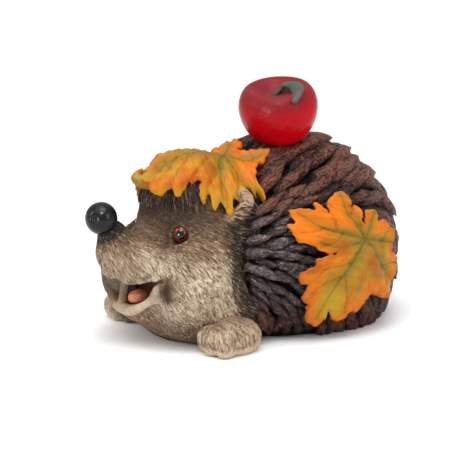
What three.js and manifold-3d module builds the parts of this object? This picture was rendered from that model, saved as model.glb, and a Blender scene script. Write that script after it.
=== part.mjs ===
// Painted cast-resin hedgehog garden figure, carrying an apple and two maple leaves.
//
// Frame: millimetres, +Z up, the hedgehog looks along -Y and its left side is +X.
// The origin is on the flat underside, below the middle of the spined back.
//
// Every soft form is modelled as clay would be: a few named ellipsoids are blended into one
// distance function, and a ball of points is then pulled in until each one lies on that surface.

import * as THREE from 'three';
import { mergeVertices } from 'three/addons/utils/BufferGeometryUtils.js';
import Module from 'manifold-3d';

const wasm = await Module();
wasm.setup();

// ---------------------------------------------------------------- driving dimensions

const GAP = 0.3;                        // clearance between neighbouring solids
const FLOOR = 0;                        // level of the flat underside

const BACK = { at: [0, 0, 40], size: [65, 76, 75] };      // spined back, out to the spine tips
const SPINE_RELIEF = 3;                 // depth of the furrows between the spines
const SPINE_FURROWS = 18;               // furrows round the back, seen from the tail
const SPINE_ROWS = 8;                   // overlapping rows from the face to the tail
const NECK_PARTING = -40;               // the head's root ends at this Y, inside the back

const FACE_FORMS = [
  // part of the face          centre           half sizes     tilt   softness of the join
  { name: 'skull',      at: [0, -55, 64],     size: [40, 36, 40], tilt: 0, blend: 1 },
  { name: 'brow',       at: [0, -72, 80],     size: [26, 27, 24], tilt: 0, blend: 10 },
  { name: 'nose_root',  at: [0, -84, 72],     size: [13, 18, 15], tilt: 0, blend: 6 },
  { name: 'cheeks',     at: [25, -82, 40],    size: [21, 29, 27], tilt: 0, blend: 12 },
  { name: 'chest',      at: [0, -58, 16],     size: [47, 42, 24], tilt: 0, blend: 12 },
  { name: 'muzzle',     at: [0, -106, 53.5],  size: [17, 30, 14], tilt: -20, blend: 9 },
  { name: 'nose_seat',  at: [0, -122, 69],    size: [10, 12, 10], tilt: -50, blend: 6 },
  { name: 'lip_pads',   at: [11, -113, 51],   size: [12, 16, 14], tilt: 0, blend: 6 },
  { name: 'jaw',        at: [0, -97, 24],     size: [19, 19, 12], tilt: 0, blend: 5 },
];
const LIP_RADIUS = 2.8;                 // rolled edge of the lower lip
const LIP_PATH = [[0, -115, 26.5], [9, -113.5, 27.5], [16, -109, 31.5], [21, -104, 39.5]];
const LIP_BLEND = 3;                    // softness of the join between the lip and the face
const MOUTH = { at: [0, -107, 35.5], size: [22, 18, 9] };
const TONGUE = { at: [0, -105, 29.5], size: [9, 10, 3.5] };
const JAW_PARTING = { at: [0, -112, 19.5], size: [24, 27, 19] };
const CHEST_PARTING = { at: [0, -58, -6], size: [62, 62, 22] };

const NOSE = { at: [0, -131.5, 78.5], size: [9.3, 9, 9] };
const NOSTRIL = { at: [4.2, -139.5, 79], size: [1.7, 2.4, 1.5] };
const EYE = { at: [19.2, -88.2, 66.2], size: [5.2, 5.2, 6.2] };
const EYE_SOCKET = { at: [22.5, -92.5, 67], size: [7.5, 7.5, 8] };
const EAR = { at: [33.5, -57, 82], size: [7, 8.5, 12], tilt: -25 };
const EAR_HOLLOW = { at: [36.5, -63.5, 83.5], size: [5, 7.5, 8.5], tilt: -25 };
const PAW = { at: [46.5, -75, 10], size: [18, 19, 13] };
const TOE_SPREAD = 10;                  // distance between neighbouring toes
const TOE = { at: [0, -89, 8], size: [6, 7, 8.5] };
const TOE_SETBACK = 2;                  // the outer toes lie this much behind the middle one
const TOE_BLEND = 4;

const APPLE = { at: [9.3, -9.8, 130.6], radius: 23.8, halfHeight: 21, leanForward: 11, leanAside: 6.5 };
// Half outline of the apple from its crown hollow to its foot, in radii and half heights.
const APPLE_OUTLINE = [[0, 0.36], [0.25, 0.42], [0.5, 0.58], [0.72, 0.68], [0.9, 0.52], [1, 0.12],
  [0.92, -0.35], [0.68, -0.78], [0.38, -0.97], [0, -0.9]];
const STEM_RADIUS = 0.9;
const STEM_TIP = [-0.8, 5.5, 12.9];     // from the apple's middle, just under its leaf
const APPLE_LEAF = { from: [-2, 6.4], to: [22.6, -3.4], foot: 14.2, arch: 1.9, drop: 0.8 };
const APPLE_LEAF_WIDTH = 8.4;
const APPLE_LEAF_THICKNESS = 1.6;

// Rings and segments of each ball of points: enough to carry its shape, and no more.
const BALL_GRID = [7, 12];
const HEAD_GRID = [20, 26];
const PAW_GRID = [10, 18];
const CHEST_GRID = [10, 16];
const BACK_GRID = [22, 4 * SPINE_FURROWS];
const MAPLE_RINGS = 3;
const APPLE_LEAF_RINGS = 2;
const APPLE_LEAF_POINTS = 12;

const LEAF_THICKNESS = 2.4;
const LEAF_CLEARANCE = 1.5;             // height of a leaf's underside over the body
const LEAF_DROOP = 0.008;               // how soon a leaf bends down past the body's edge
const LEAF_BED_BLEND = 12;              // leaves bridge the crease between head and back this softly
const LEAF_RISE = 12;                   // most that a leaf can stand above its own middle

// Outline of each maple leaf round its vein junction: degrees and reach, tip by tip and
// notch by notch. Zero degrees is the leaf's heading, and angles grow anticlockwise seen from outside.
const HEAD_LEAF = {
  at: [7, -49, 106], up: [0.08, -0.3, 0.95], heading: [0, -1, 0],
  outline: [[-12, 56], [-5, 49], [1, 51], [8, 44], [16, 46], [24, 33], [33, 41], [38, 37],
    [44, 43], [50, 39], [56, 41], [68, 30], [79, 28], [88, 38], [98, 24], [122, 20],
    [152, 29], [168, 22], [182, 14], [205, 20], [225, 31], [242, 20], [262, 27], [272, 38],
    [284, 29], [300, 31], [312, 46], [322, 38], [332, 40], [338, 48]],
};
const FLANK_LEAF = {
  at: [64, 11, 58], up: [0.97, 0.15, 0.2], heading: [0, 0, 1],
  outline: [[-3, 20], [4, 22], [16, 31], [28, 24], [38, 27], [45, 37], [53, 36], [61, 49],
    [66, 44], [72, 47], [84, 36], [99, 28], [106, 38], [111, 46], [118, 42], [125, 49],
    [134, 47], [146, 57], [154, 48], [161, 50], [169, 43], [177, 45], [196, 36], [206, 41],
    [218, 53], [226, 41], [240, 43], [247, 47], [256, 37], [264, 37], [276, 25], [287, 27],
    [300, 19], [315, 22], [335, 15]],
};

// ---------------------------------------------------------------- distance functions

const radians = THREE.MathUtils.degToRad;

// Signed distance, near enough, from a point to an ellipsoid that may be tilted about X.
function ellipsoid(p, { at, size, tilt = 0 }) {
  const dx = p[0] - at[0];
  const dy = p[1] - at[1];
  const dz = p[2] - at[2];
  const c = Math.cos(radians(tilt));
  const s = Math.sin(radians(tilt));
  const local = [dx, dy * c + dz * s, dz * c - dy * s];
  const near = Math.hypot(...local.map((v, i) => v / size[i]));
  const slope = Math.hypot(...local.map((v, i) => v / size[i] ** 2));
  return near * (near - 1) / Math.max(slope, 1e-9);
}

function capsule(p, a, b, radius) {
  const along = b.map((v, i) => v - a[i]);
  const from = p.map((v, i) => v - a[i]);
  const dot = (u, v) => u[0] * v[0] + u[1] * v[1] + u[2] * v[2];
  const t = THREE.MathUtils.clamp(dot(from, along) / dot(along, along), 0, 1);
  return Math.hypot(...from.map((v, i) => v - t * along[i])) - radius;
}

// Union of two distances with a soft fillet of the given width.
function blend(a, b, width) {
  const t = THREE.MathUtils.clamp(0.5 + 0.5 * (b - a) / width, 0, 1);
  return b * (1 - t) + a * t - width * t * (1 - t);
}

const mirrored = (p) => [Math.abs(p[0]), p[1], p[2]];

function faceDistance(p) {
  const m = mirrored(p);
  let d = Infinity;
  for (const form of FACE_FORMS) {
    const e = ellipsoid(m, form);
    d = d === Infinity ? e : blend(d, e, form.blend);
  }
  return d;
}

function lipDistance(p) {
  const m = mirrored(p);
  let d = Infinity;
  for (let i = 1; i < LIP_PATH.length; i += 1) {
    d = Math.min(d, capsule(m, LIP_PATH[i - 1], LIP_PATH[i], LIP_RADIUS));
  }
  return d;
}

const headDistance = (p) => blend(faceDistance(p), lipDistance(p), LIP_BLEND);
const backDistance = (p) => ellipsoid(p, BACK);

// The spines lie back over one another: furrows run from face to tail, and each row stands
// highest at its tips, a little above the roots of the next row.
function spinedDistance(p) {
  const round = Math.atan2(p[0], p[2] - BACK.at[2]) / (2 * Math.PI);
  const row = SPINE_ROWS * (p[1] / (2 * BACK.size[1]) + 0.5);
  const stagger = Math.floor(row) % 2 ? 0.5 : 0;
  const furrow = 0.5 - 0.5 * Math.cos(2 * Math.PI * (SPINE_FURROWS * round + stagger));
  const lift = row - Math.floor(row);
  return backDistance(p) + SPINE_RELIEF * (0.6 * (1 - furrow) + 0.4 * (1 - lift));
}

function pawDistance(p) {
  let d = ellipsoid(p, PAW);
  for (const toe of [-1, 0, 1]) {
    const at = [PAW.at[0] + toe * TOE_SPREAD, TOE.at[1] + Math.abs(toe) * TOE_SETBACK, TOE.at[2]];
    d = blend(d, ellipsoid(p, { ...TOE, at }), TOE_BLEND);
  }
  return d;
}

const grown = (distance, by) => (p) => distance(p) - by;

// ---------------------------------------------------------------- solids

// A ball of points round `centre`, each pulled in along its ray to the distance's surface:
// first in strides from the ball's reach, then by halving the last stride.
// The poles lie on `axis`.
const REACH = 130;
const STRIDE = 0.5;
const HALVINGS = 20;
function radialSolid(distance, centre, [rings, segments], axis = 'z') {
  const ball = new THREE.SphereGeometry(1, segments, rings);
  if (axis === 'z') ball.rotateX(Math.PI / 2);
  ball.deleteAttribute('normal');
  ball.deleteAttribute('uv');
  const geometry = mergeVertices(ball, 1e-5);
  const position = geometry.getAttribute('position');
  const ray = new THREE.Vector3();
  for (let i = 0; i < position.count; i += 1) {
    ray.fromBufferAttribute(position, i).normalize();
    const at = (r) => [centre[0] + ray.x * r, centre[1] + ray.y * r, centre[2] + ray.z * r];
    let inside = REACH;
    while (distance(at(inside)) > 0 && inside > STRIDE) inside -= STRIDE;
    let outside = inside + STRIDE;
    for (let step = 0; step < HALVINGS; step += 1) {
      const middle = (inside + outside) / 2;
      if (distance(at(middle)) > 0) outside = middle;
      else inside = middle;
    }
    position.setXYZ(i, ...at(inside));
  }
  return geometry;
}

function ball(form, extra = 0, grid = BALL_GRID) {
  return radialSolid(grown((p) => ellipsoid(p, form), extra), form.at, grid);
}

const onRight = (form) => ({ ...form, at: [-form.at[0], form.at[1], form.at[2]] });

function toSolid(geometry) {
  const clean = geometry.clone();
  clean.deleteAttribute('normal');
  clean.deleteAttribute('uv');
  const merged = mergeVertices(clean, 1e-4);
  return new wasm.Manifold(new wasm.Mesh({
    numProp: 3,
    vertProperties: new Float32Array(merged.getAttribute('position').array),
    triVerts: new Uint32Array(merged.getIndex().array),
  }));
}

// The solid's largest body as a geometry; crumbs that a cut leaves behind are dropped.
function toGeometry(solid) {
  const bodies = solid.decompose().sort((a, b) => b.volume() - a.volume());
  const mesh = bodies[0].getMesh();
  const geometry = new THREE.BufferGeometry();
  geometry.setAttribute('position', new THREE.BufferAttribute(mesh.vertProperties, 3));
  geometry.setIndex(new THREE.BufferAttribute(mesh.triVerts, 1));
  geometry.computeVertexNormals();
  return geometry;
}

// A block far larger than the figure, for keeping what is above the floor or in front of the
// neck parting. It is centred on X, and on Y at `middleY`, and stands on the level `bottom`.
const BLOCK = 400;
function blockSolid(middleY, bottom) {
  const block = new THREE.BoxGeometry(BLOCK, BLOCK, BLOCK);
  block.translate(0, middleY, bottom + BLOCK / 2);
  return toSolid(block);
}

// ---------------------------------------------------------------- leaves

// Height, along the leaf's own up direction, of the body below one point of the leaf. Past
// the body's edge the leaf bends down on its own.
function restHeight(leaf, axes, u, v) {
  const droop = -LEAF_DROOP * (u * u + v * v);
  const at = (h) => leaf.at.map((c, i) => c + axes.a[i] * u + axes.b[i] * v + axes.n[i] * h);
  const body = (p) => blend(backDistance(p), headDistance(p), LEAF_BED_BLEND) - LEAF_CLEARANCE;
  let high = LEAF_RISE;
  while (body(at(high)) > 0 && high > droop) high -= STRIDE;
  return Math.max(high, droop);
}

function mapleLeaf(leaf) {
  const n = new THREE.Vector3(...leaf.up).normalize();
  const a = new THREE.Vector3(...leaf.heading);
  a.addScaledVector(n, -a.dot(n)).normalize();
  const b = new THREE.Vector3().crossVectors(n, a);
  const axes = { a: a.toArray(), b: b.toArray(), n: n.toArray() };
  return sheet(leaf.outline, MAPLE_RINGS, LEAF_THICKNESS, (u, v, lift) => {
    const h = restHeight(leaf, axes, u, v) + lift;
    return leaf.at.map((c, i) => c + axes.a[i] * u + axes.b[i] * v + axes.n[i] * h);
  });
}

// A closed sheet inside a star-shaped outline of degrees and reaches. `place` turns a point of
// the flat outline, and its height in the sheet's thickness, into a point in space.
function sheet(outline, rings, thickness, place) {
  const positions = [];
  for (const lift of [0, thickness]) {
    positions.push(...place(0, 0, lift));
    for (let ring = 1; ring <= rings; ring += 1) {
      for (const [degrees, reach] of outline) {
        const r = reach * ring / rings;
        const angle = radians(degrees);
        positions.push(...place(r * Math.cos(angle), r * Math.sin(angle), lift));
      }
    }
  }
  const geometry = new THREE.BufferGeometry();
  geometry.setAttribute('position', new THREE.Float32BufferAttribute(positions, 3));
  geometry.setIndex(sheetFaces(outline.length, rings));
  return geometry;
}

// Triangles of a two-sided sheet made of a centre point and rings of spokes, closed by a rim.
function sheetFaces(spokes, rings) {
  const side = 1 + rings * spokes;
  const faces = [];
  const vertex = (layer, ring, k) => layer * side + (ring ? 1 + (ring - 1) * spokes + k % spokes : 0);
  for (let k = 0; k < spokes; k += 1) {
    for (const layer of [0, 1]) {
      const put = (i, j, l) => faces.push(...(layer ? [i, j, l] : [i, l, j]));
      put(vertex(layer, 0, 0), vertex(layer, 1, k), vertex(layer, 1, k + 1));
      for (let ring = 1; ring < rings; ring += 1) {
        const near = [vertex(layer, ring, k), vertex(layer, ring, k + 1)];
        const far = [vertex(layer, ring + 1, k), vertex(layer, ring + 1, k + 1)];
        put(near[0], far[0], far[1]);
        put(near[0], far[1], near[1]);
      }
    }
    const low = [vertex(0, rings, k), vertex(0, rings, k + 1)];
    const high = [vertex(1, rings, k), vertex(1, rings, k + 1)];
    faces.push(low[0], low[1], high[1], low[0], high[1], high[0]);
  }
  return faces;
}

// ---------------------------------------------------------------- apple

function appleGeometry(extra = 0) {
  const outline = new THREE.SplineCurve(APPLE_OUTLINE.map(([r, z]) => new THREE.Vector2(
    r * (APPLE.radius + extra), z * (APPLE.halfHeight + extra))));
  const profile = outline.getPoints(14).reverse();
  profile.forEach((point) => { point.x = Math.max(point.x, 0); });
  const apple = new THREE.LatheGeometry(profile, 20);
  apple.rotateX(Math.PI / 2);
  return apple;
}

// Turns a form built round the apple's own middle to its lean and its place on the back.
function placeOnApple(geometry) {
  geometry.rotateX(radians(APPLE.leanForward));
  geometry.rotateY(radians(APPLE.leanAside));
  geometry.translate(...APPLE.at);
  return geometry;
}

function stemGeometry() {
  const foot = new THREE.Vector3(0, 0, APPLE_OUTLINE[0][1] * APPLE.halfHeight);
  const path = new THREE.LineCurve3(foot, new THREE.Vector3(...STEM_TIP));
  const section = new THREE.Shape();
  section.absarc(0, 0, STEM_RADIUS, 0, 2 * Math.PI);
  return new THREE.ExtrudeGeometry(section, { steps: 3, curveSegments: 4, extrudePath: path });
}

// The apple's own leaf springs from the stem and arches over the crown.
function appleLeafGeometry() {
  const { from, to, foot, arch, drop } = APPLE_LEAF;
  const along = [to[0] - from[0], to[1] - from[1]];
  const length = Math.hypot(...along);
  const outline = [];
  for (let k = 0; k < APPLE_LEAF_POINTS; k += 1) {
    const t = 2 * Math.PI * k / APPLE_LEAF_POINTS;
    const u = Math.cos(t) * length / 2;
    const v = Math.sin(t) * APPLE_LEAF_WIDTH / 2;
    outline.push([THREE.MathUtils.radToDeg(Math.atan2(v, u)), Math.hypot(u, v)]);
  }
  return sheet(outline, APPLE_LEAF_RINGS, APPLE_LEAF_THICKNESS, (u, v, lift) => {
    const t = u / length + 0.5;
    const x = from[0] + along[0] * t - along[1] / length * v;
    const y = from[1] + along[1] * t + along[0] / length * v;
    return [x, y, foot + arch * Math.sin(Math.PI * t) - drop * t * t + lift];
  });
}

// ---------------------------------------------------------------- finishes

const finish = (color, roughness) => new THREE.MeshStandardMaterial({
  color, roughness, metalness: 0, side: THREE.FrontSide,
});
const FUR = finish(0xb39a7c, 0.75);
const PALE_FUR = finish(0xcdbfa4, 0.75);
const SPINES = finish(0x3a2723, 0.6);
const NOSE_BLACK = finish(0x0b0b0c, 0.15);
const EYE_GLASS = finish(0x6b1a0c, 0.08);
const TONGUE_PINK = finish(0xc46a55, 0.5);
const LEAF_GOLD = finish(0xe39a1c, 0.55);
const APPLE_RED = finish(0xa5101a, 0.35);
const STEM_BROWN = finish(0x4a3320, 0.7);
const LEAF_GREEN = finish(0x35503c, 0.6);

// ---------------------------------------------------------------- the figure

const figure = new THREE.Group();

function add(name, geometry, material) {
  const mesh = new THREE.Mesh(geometry, material);
  mesh.name = name;
  figure.add(mesh);
}

const half = GAP / 2;
const HEAD_CENTRE = [0, -74, 50];
const above = blockSolid(0, FLOOR);
const inFront = (extra) => blockSolid(NECK_PARTING + extra - BLOCK / 2, -BLOCK / 2);
const headForm = (extra) => toSolid(
  radialSolid(grown(headDistance, extra), HEAD_CENTRE, HEAD_GRID, 'y'));
const ballSolid = (form, extra) => toSolid(ball(form, extra));
const bothSides = (form, extra) => ballSolid(form, extra).add(ballSolid(onRight(form), extra));

function paw(side) {
  const place = (p) => [side * p[0], p[1], p[2]];
  const solid = (extra) => toSolid(radialSolid(grown((p) => pawDistance(place(p)), extra),
    [side * PAW.at[0], PAW.at[1], PAW.at[2]], PAW_GRID));
  return { body: solid(0).intersect(above), space: solid(GAP) };
}
const leftPaw = paw(1);
const rightPaw = paw(-1);

const mouth = ballSolid(MOUTH, 0);
const head = headForm(0).intersect(above).intersect(inFront(-half)).subtract(mouth)
  .subtract(bothSides(EYE_SOCKET, 0))
  .subtract(bothSides(EYE, GAP))
  .subtract(ballSolid(NOSE, GAP))
  .subtract(bothSides(EAR, GAP))
  .subtract(leftPaw.space)
  .subtract(rightPaw.space);
const jawSpace = ballSolid(JAW_PARTING, -half);
const jawSpaceWide = ballSolid(JAW_PARTING, half);
const chestSpace = toSolid(ball(CHEST_PARTING, -half, CHEST_GRID));
const chestSpaceWide = toSolid(ball(CHEST_PARTING, half, CHEST_GRID));

add('head', toGeometry(head.subtract(jawSpaceWide).subtract(chestSpaceWide)), FUR);
add('lower_jaw', toGeometry(head.intersect(jawSpace).subtract(chestSpaceWide)), PALE_FUR);

add('paw_left', toGeometry(leftPaw.body), PALE_FUR);
add('paw_right', toGeometry(rightPaw.body), PALE_FUR);
add('chest', toGeometry(head.intersect(chestSpace)), FUR);

const appleSpace = toSolid(placeOnApple(appleGeometry(GAP)));
const trunk = toSolid(radialSolid(spinedDistance, BACK.at, BACK_GRID, 'y'))
  .intersect(above)
  .subtract(headForm(GAP).intersect(inFront(half)))
  .subtract(leftPaw.space)
  .subtract(rightPaw.space)
  .subtract(bothSides(EAR, GAP))
  .subtract(appleSpace);
add('spined_back', toGeometry(trunk), SPINES);

add('nose', toGeometry(ballSolid(NOSE, 0).subtract(bothSides(NOSTRIL, 0))), NOSE_BLACK);
add('tongue', toGeometry(ballSolid(TONGUE, 0).intersect(ballSolid(MOUTH, -GAP))), TONGUE_PINK);
for (const [side, turn] of [['left', (form) => form], ['right', onRight]]) {
  add(`eye_${side}`, toGeometry(ballSolid(turn(EYE), 0)), EYE_GLASS);
  add(`ear_${side}`, toGeometry(ballSolid(turn(EAR), 0).subtract(ballSolid(turn(EAR_HOLLOW), 0))), FUR);
}

const fleshSpace = headForm(GAP).add(bothSides(EAR, GAP));
for (const [name, leaf] of [['leaf_head', HEAD_LEAF], ['leaf_flank', FLANK_LEAF]]) {
  const solid = toSolid(mapleLeaf(leaf)).subtract(fleshSpace).subtract(appleSpace);
  add(name, toGeometry(solid), LEAF_GOLD);
}

add('apple', toGeometry(toSolid(placeOnApple(appleGeometry()))), APPLE_RED);
const appleLeaf = toSolid(placeOnApple(appleLeafGeometry()));
const stem = toSolid(placeOnApple(stemGeometry()));
add('apple_leaf', toGeometry(appleLeaf.subtract(appleSpace)), LEAF_GREEN);
add('apple_stem', toGeometry(stem.subtract(appleSpace)), STEM_BROWN);

export default figure;
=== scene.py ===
# %% [markdown]
# # A painted hedgehog with an apple and two maple leaves
#
# The real object is a garden figure, cast in resin and painted by hand. Its fur is not hair but
# strokes cut into the clay model, its quills are fat little rolls laid over one another, and
# brown wash has settled in every hollow before the lighter paint was brushed over the crests.
# The looks are made in the same order here: model the clay, engrave it, then paint it.
#
# Sizes are written in millimetres, as a modeller would, and turned to metres as a mesh is made.

import math

import bmesh
import bpy
import numpy as np
from mathutils import Matrix, Vector, kdtree, noise


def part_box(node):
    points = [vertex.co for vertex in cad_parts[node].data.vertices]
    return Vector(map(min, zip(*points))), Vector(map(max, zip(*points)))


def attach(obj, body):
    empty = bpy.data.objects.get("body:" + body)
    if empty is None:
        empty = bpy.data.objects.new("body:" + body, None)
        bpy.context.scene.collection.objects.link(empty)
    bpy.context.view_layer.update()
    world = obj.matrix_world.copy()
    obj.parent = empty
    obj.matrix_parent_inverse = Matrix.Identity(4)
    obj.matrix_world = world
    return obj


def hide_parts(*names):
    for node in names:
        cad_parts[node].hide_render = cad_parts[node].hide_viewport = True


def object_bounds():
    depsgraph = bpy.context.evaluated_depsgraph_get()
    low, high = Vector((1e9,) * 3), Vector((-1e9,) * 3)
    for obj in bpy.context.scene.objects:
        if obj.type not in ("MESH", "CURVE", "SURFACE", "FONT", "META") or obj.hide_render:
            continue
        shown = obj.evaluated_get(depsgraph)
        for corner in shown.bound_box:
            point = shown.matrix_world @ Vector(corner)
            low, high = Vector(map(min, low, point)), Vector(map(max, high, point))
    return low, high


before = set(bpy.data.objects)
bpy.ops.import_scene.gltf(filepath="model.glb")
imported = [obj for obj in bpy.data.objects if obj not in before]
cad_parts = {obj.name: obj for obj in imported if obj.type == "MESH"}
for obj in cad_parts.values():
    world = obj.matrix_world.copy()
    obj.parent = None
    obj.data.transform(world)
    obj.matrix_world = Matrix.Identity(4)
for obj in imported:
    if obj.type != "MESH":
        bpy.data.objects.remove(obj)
cad_low, cad_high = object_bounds()
MM = 0.001
noise.seed_set(7)                        # without a seed of its own it follows the clock


def middle_of(node):
    """The middle of a CAD node's box, in millimetres."""
    low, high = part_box(node)
    return np.array((low + high) / 2) / MM


def half_size_of(node):
    low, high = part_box(node)
    return np.array((high - low) / 2) / MM


print("overall size in mm:", [round(v / MM, 1) for v in cad_high - cad_low])

# %% [markdown]
# ## Camera, floor and light
#
# The figure is seen from its left front, a little above, through a long lens, so that near and
# far parts keep nearly the same scale. The camera is placed by its azimuth and elevation round
# the point that it looks at, which keeps the angle a named value instead of a guessed matrix.

# %% Camera
AZIMUTH = math.radians(53.5)
ELEVATION = math.radians(13)
CAMERA_DISTANCE = 1.4
SEEN_WIDTH = 0.276                      # width of the view at the figure
LOOK_AT = Vector((0, -0.0388, 0.0587))

camera_data = bpy.data.cameras.new("camera")
camera_data.sensor_width = 36
camera_data.lens = camera_data.sensor_width * CAMERA_DISTANCE / SEEN_WIDTH
camera = bpy.data.objects.new("camera", camera_data)
bpy.context.scene.collection.objects.link(camera)
back = Vector((math.sin(AZIMUTH) * math.cos(ELEVATION),
               -math.cos(AZIMUTH) * math.cos(ELEVATION), math.sin(ELEVATION)))
camera.location = LOOK_AT + back * CAMERA_DISTANCE
camera.rotation_euler = (-back).to_track_quat("-Z", "Y").to_euler()
bpy.context.scene.camera = camera
print("lens in mm:", round(camera_data.lens, 1))

# %% [markdown]
# Studio light for small glossy ware is one big soft box overhead and a smaller one on each side:
# the boxes give the nose and the apple their pale patches, and the white room fills the shadows.

# %% Lights and room
bpy.context.scene.view_settings.view_transform = "Standard"


def soft_box(name, place, width, height, power):
    light = bpy.data.lights.new(name, "AREA")
    light.shape = "RECTANGLE"
    light.size, light.size_y, light.energy = width, height, power
    box = bpy.data.objects.new(name, light)
    box.location = place
    box.rotation_euler = (LOOK_AT - Vector(place)).to_track_quat("-Z", "Y").to_euler()
    bpy.context.scene.collection.objects.link(box)
    return box


soft_box("light_overhead", (0.25, -0.15, 1.1), 0.6, 0.6, 4.6)
soft_box("light_left", (-0.55, -1.0, 0.6), 0.35, 0.6, 2.8)
soft_box("light_right", (1.1, 0.25, 0.5), 0.4, 0.6, 2.8)
for name, place in (("glint_front", (0.44, -1.26, 0.16)), ("glint_high", (0.7, -0.6, 1.0))):
    glint = soft_box(name, place, 0.24, 0.24, 7.0)
    glint.visible_diffuse = False

sky = bpy.data.lights.new("light_ceiling", "SUN")
sky.energy = 1.5
sky.angle = math.radians(70)
ceiling = bpy.data.objects.new("light_ceiling", sky)
ceiling.rotation_euler = (math.radians(12), math.radians(8), 0)
bpy.context.scene.collection.objects.link(ceiling)

world = bpy.data.worlds.new("white_room")
world.use_nodes = True
world.node_tree.nodes["Background"].inputs["Color"].default_value = (1, 1, 1, 1)
world.node_tree.nodes["Background"].inputs["Strength"].default_value = 0.62
bpy.context.scene.world = world

# %% [markdown]
# ## A short way to write node trees
#
# Node trees are sums and products, so they read best as sums and products. `Wire` holds one
# socket and lets Python's operators add the Math nodes; `Bench` is the tree being built, and its
# `add` makes any other node. Geometry Nodes use the same Math nodes, so both kinds of tree are
# written in the same way.

# %% Wire and Bench
class Wire:
    """One value running through a node tree."""

    def __init__(self, bench, socket):
        self.bench = bench
        self.socket = socket

    def work(self, operation, first, second=None):
        vectors = [v for v in (first, second) if isinstance(v, Wire) and v.socket.type == "VECTOR"]
        kind = "ShaderNodeVectorMath" if vectors else "ShaderNodeMath"
        if vectors and operation == "MULTIPLY":
            scaled, by = (first, second) if first in vectors else (second, first)
            if by not in vectors and not isinstance(by, tuple):
                return self.bench.add(kind, {0: scaled, "Scale": by}, operation="SCALE")
        sockets = {0: first} if second is None else {0: first, 1: second}
        return self.bench.add(kind, sockets, operation=operation)

    def __neg__(self):
        return self * -1.0

    def heading(self):
        """The direction of a vector."""
        return self.work("NORMALIZE", self)

    def length(self):
        return self.bench.add("ShaderNodeVectorMath", {0: self}, out="Value", operation="LENGTH")

    def ramp(self, low, high):
        """0 below `low`, 1 above `high`, and a smooth rise between. `low` may be the larger."""
        return self.bench.add("ShaderNodeMapRange", {"Value": self, 1: low, 2: high},
                              interpolation_type="SMOOTHSTEP")


def give_operator(sign, operation):
    """Lets a wire stand on either side of one of Python's operators."""
    setattr(Wire, f"__{sign}__", lambda wire, other: wire.work(operation, wire, other))
    setattr(Wire, f"__r{sign}__", lambda wire, other: wire.work(operation, other, wire))


for sign, operation in (("add", "ADD"), ("sub", "SUBTRACT"), ("mul", "MULTIPLY"),
                        ("truediv", "DIVIDE"), ("pow", "POWER")):
    give_operator(sign, operation)


class Bench:
    """A node tree being built."""

    def __init__(self, tree):
        self.tree = tree
        tree.nodes.clear()

    def add(self, kind, sockets=None, out=0, **settings):
        node = self.tree.nodes.new(kind)
        for name, value in settings.items():
            setattr(node, name, value)
        for name, value in (sockets or {}).items():
            if isinstance(value, Wire):
                self.tree.links.new(value.socket, node.inputs[name])
            else:
                node.inputs[name].default_value = value
        return Wire(self, node.outputs[out]) if len(node.outputs) else node


# %% [markdown]
# A finish starts from one colour, and every further colour is laid over it by a mask. These
# helpers add the textures that every finish shares, all read in millimetres from the piece's own
# Object coordinates, so the pattern stays fixed on the casting from every side.

# %% Paint
class Paint(Bench):
    """A material being painted, from its first colour on."""

    def __init__(self, name, colour):
        self.material = bpy.data.materials.new(name)
        self.material.use_nodes = True
        super().__init__(self.material.node_tree)
        self.colour = colour
        self.at = self.add("ShaderNodeTexCoord", out="Object") * (1 / MM)
        self.y, self.z = (self.add("ShaderNodeSeparateXYZ", {0: self.at}, out=axis) for axis in "YZ")

    def mix(self, under, over, share):
        """`over` laid on `under` by `share`. Colours are plain tuples or wires."""
        colours = [c if isinstance(c, Wire) else (*c, 1) for c in (under, over)]
        return self.add("ShaderNodeMix", {0: share, 6: colours[0], 7: colours[1]}, out=2,
                        data_type="RGBA")

    def lay(self, colour, share):
        """A further colour over all that was laid before."""
        self.colour = self.mix(self.colour, colour, share)

    def dab(self, colour, point, radius, soft, share=1.0):
        """A further colour laid round one point only."""
        self.lay(colour, self.near(point, radius, soft) * share)

    def noise(self, vector, detail, scale=1.0, **more):
        return self.add("ShaderNodeTexNoise", {"Vector": vector, "Scale": scale, "Detail": detail,
                                               **more}, noise_dimensions="4D" if "W" in more else "3D")

    def grain(self, size, detail=3):
        """Noise from 0 to 1 whose patches are `size` millimetres across."""
        return self.noise(self.at * (1 / size, 1 / size, 1 / size), detail, Roughness=0.55)

    def near(self, point, radius, soft):
        """1 within `radius` of a point, fading out over the next `soft` millimetres."""
        away = self.add("ShaderNodeVectorMath", {0: self.at, 1: tuple(point)}, out="Value",
                        operation="DISTANCE")
        return away.ramp(radius + soft, radius)

    def painted(self, name, kind="Fac"):
        """A value, or with kind "Vector" a vector, that was stored on the mesh point by point."""
        return self.add("ShaderNodeAttribute", out=kind, attribute_name=name)

    def bump(self, height, depth, under=None):
        sockets = {"Height": height, "Strength": 1.0, "Distance": depth * MM}
        if under:
            sockets["Normal"] = under
        return self.add("ShaderNodeBump", sockets)

    def done(self, rough, gloss=0.5, relief=None, coat=0.0, coat_rough=0.03):
        sockets = {"Base Color": self.colour, "Roughness": rough, "Specular IOR Level": gloss,
                   "Coat Weight": coat, "Coat Roughness": coat_rough}
        if relief:
            sockets["Normal"] = relief
        shader = self.add("ShaderNodeBsdfPrincipled", sockets)
        self.add("ShaderNodeOutputMaterial", {"Surface": shader})
        return self.material


# %% Floor
def floor_finish():
    paint = Paint("pale_floor", (0.93, 0.93, 0.93))
    paint.lay((0.96, 0.96, 0.96), paint.grain(180, 2))
    return paint.done(0.7)


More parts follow.
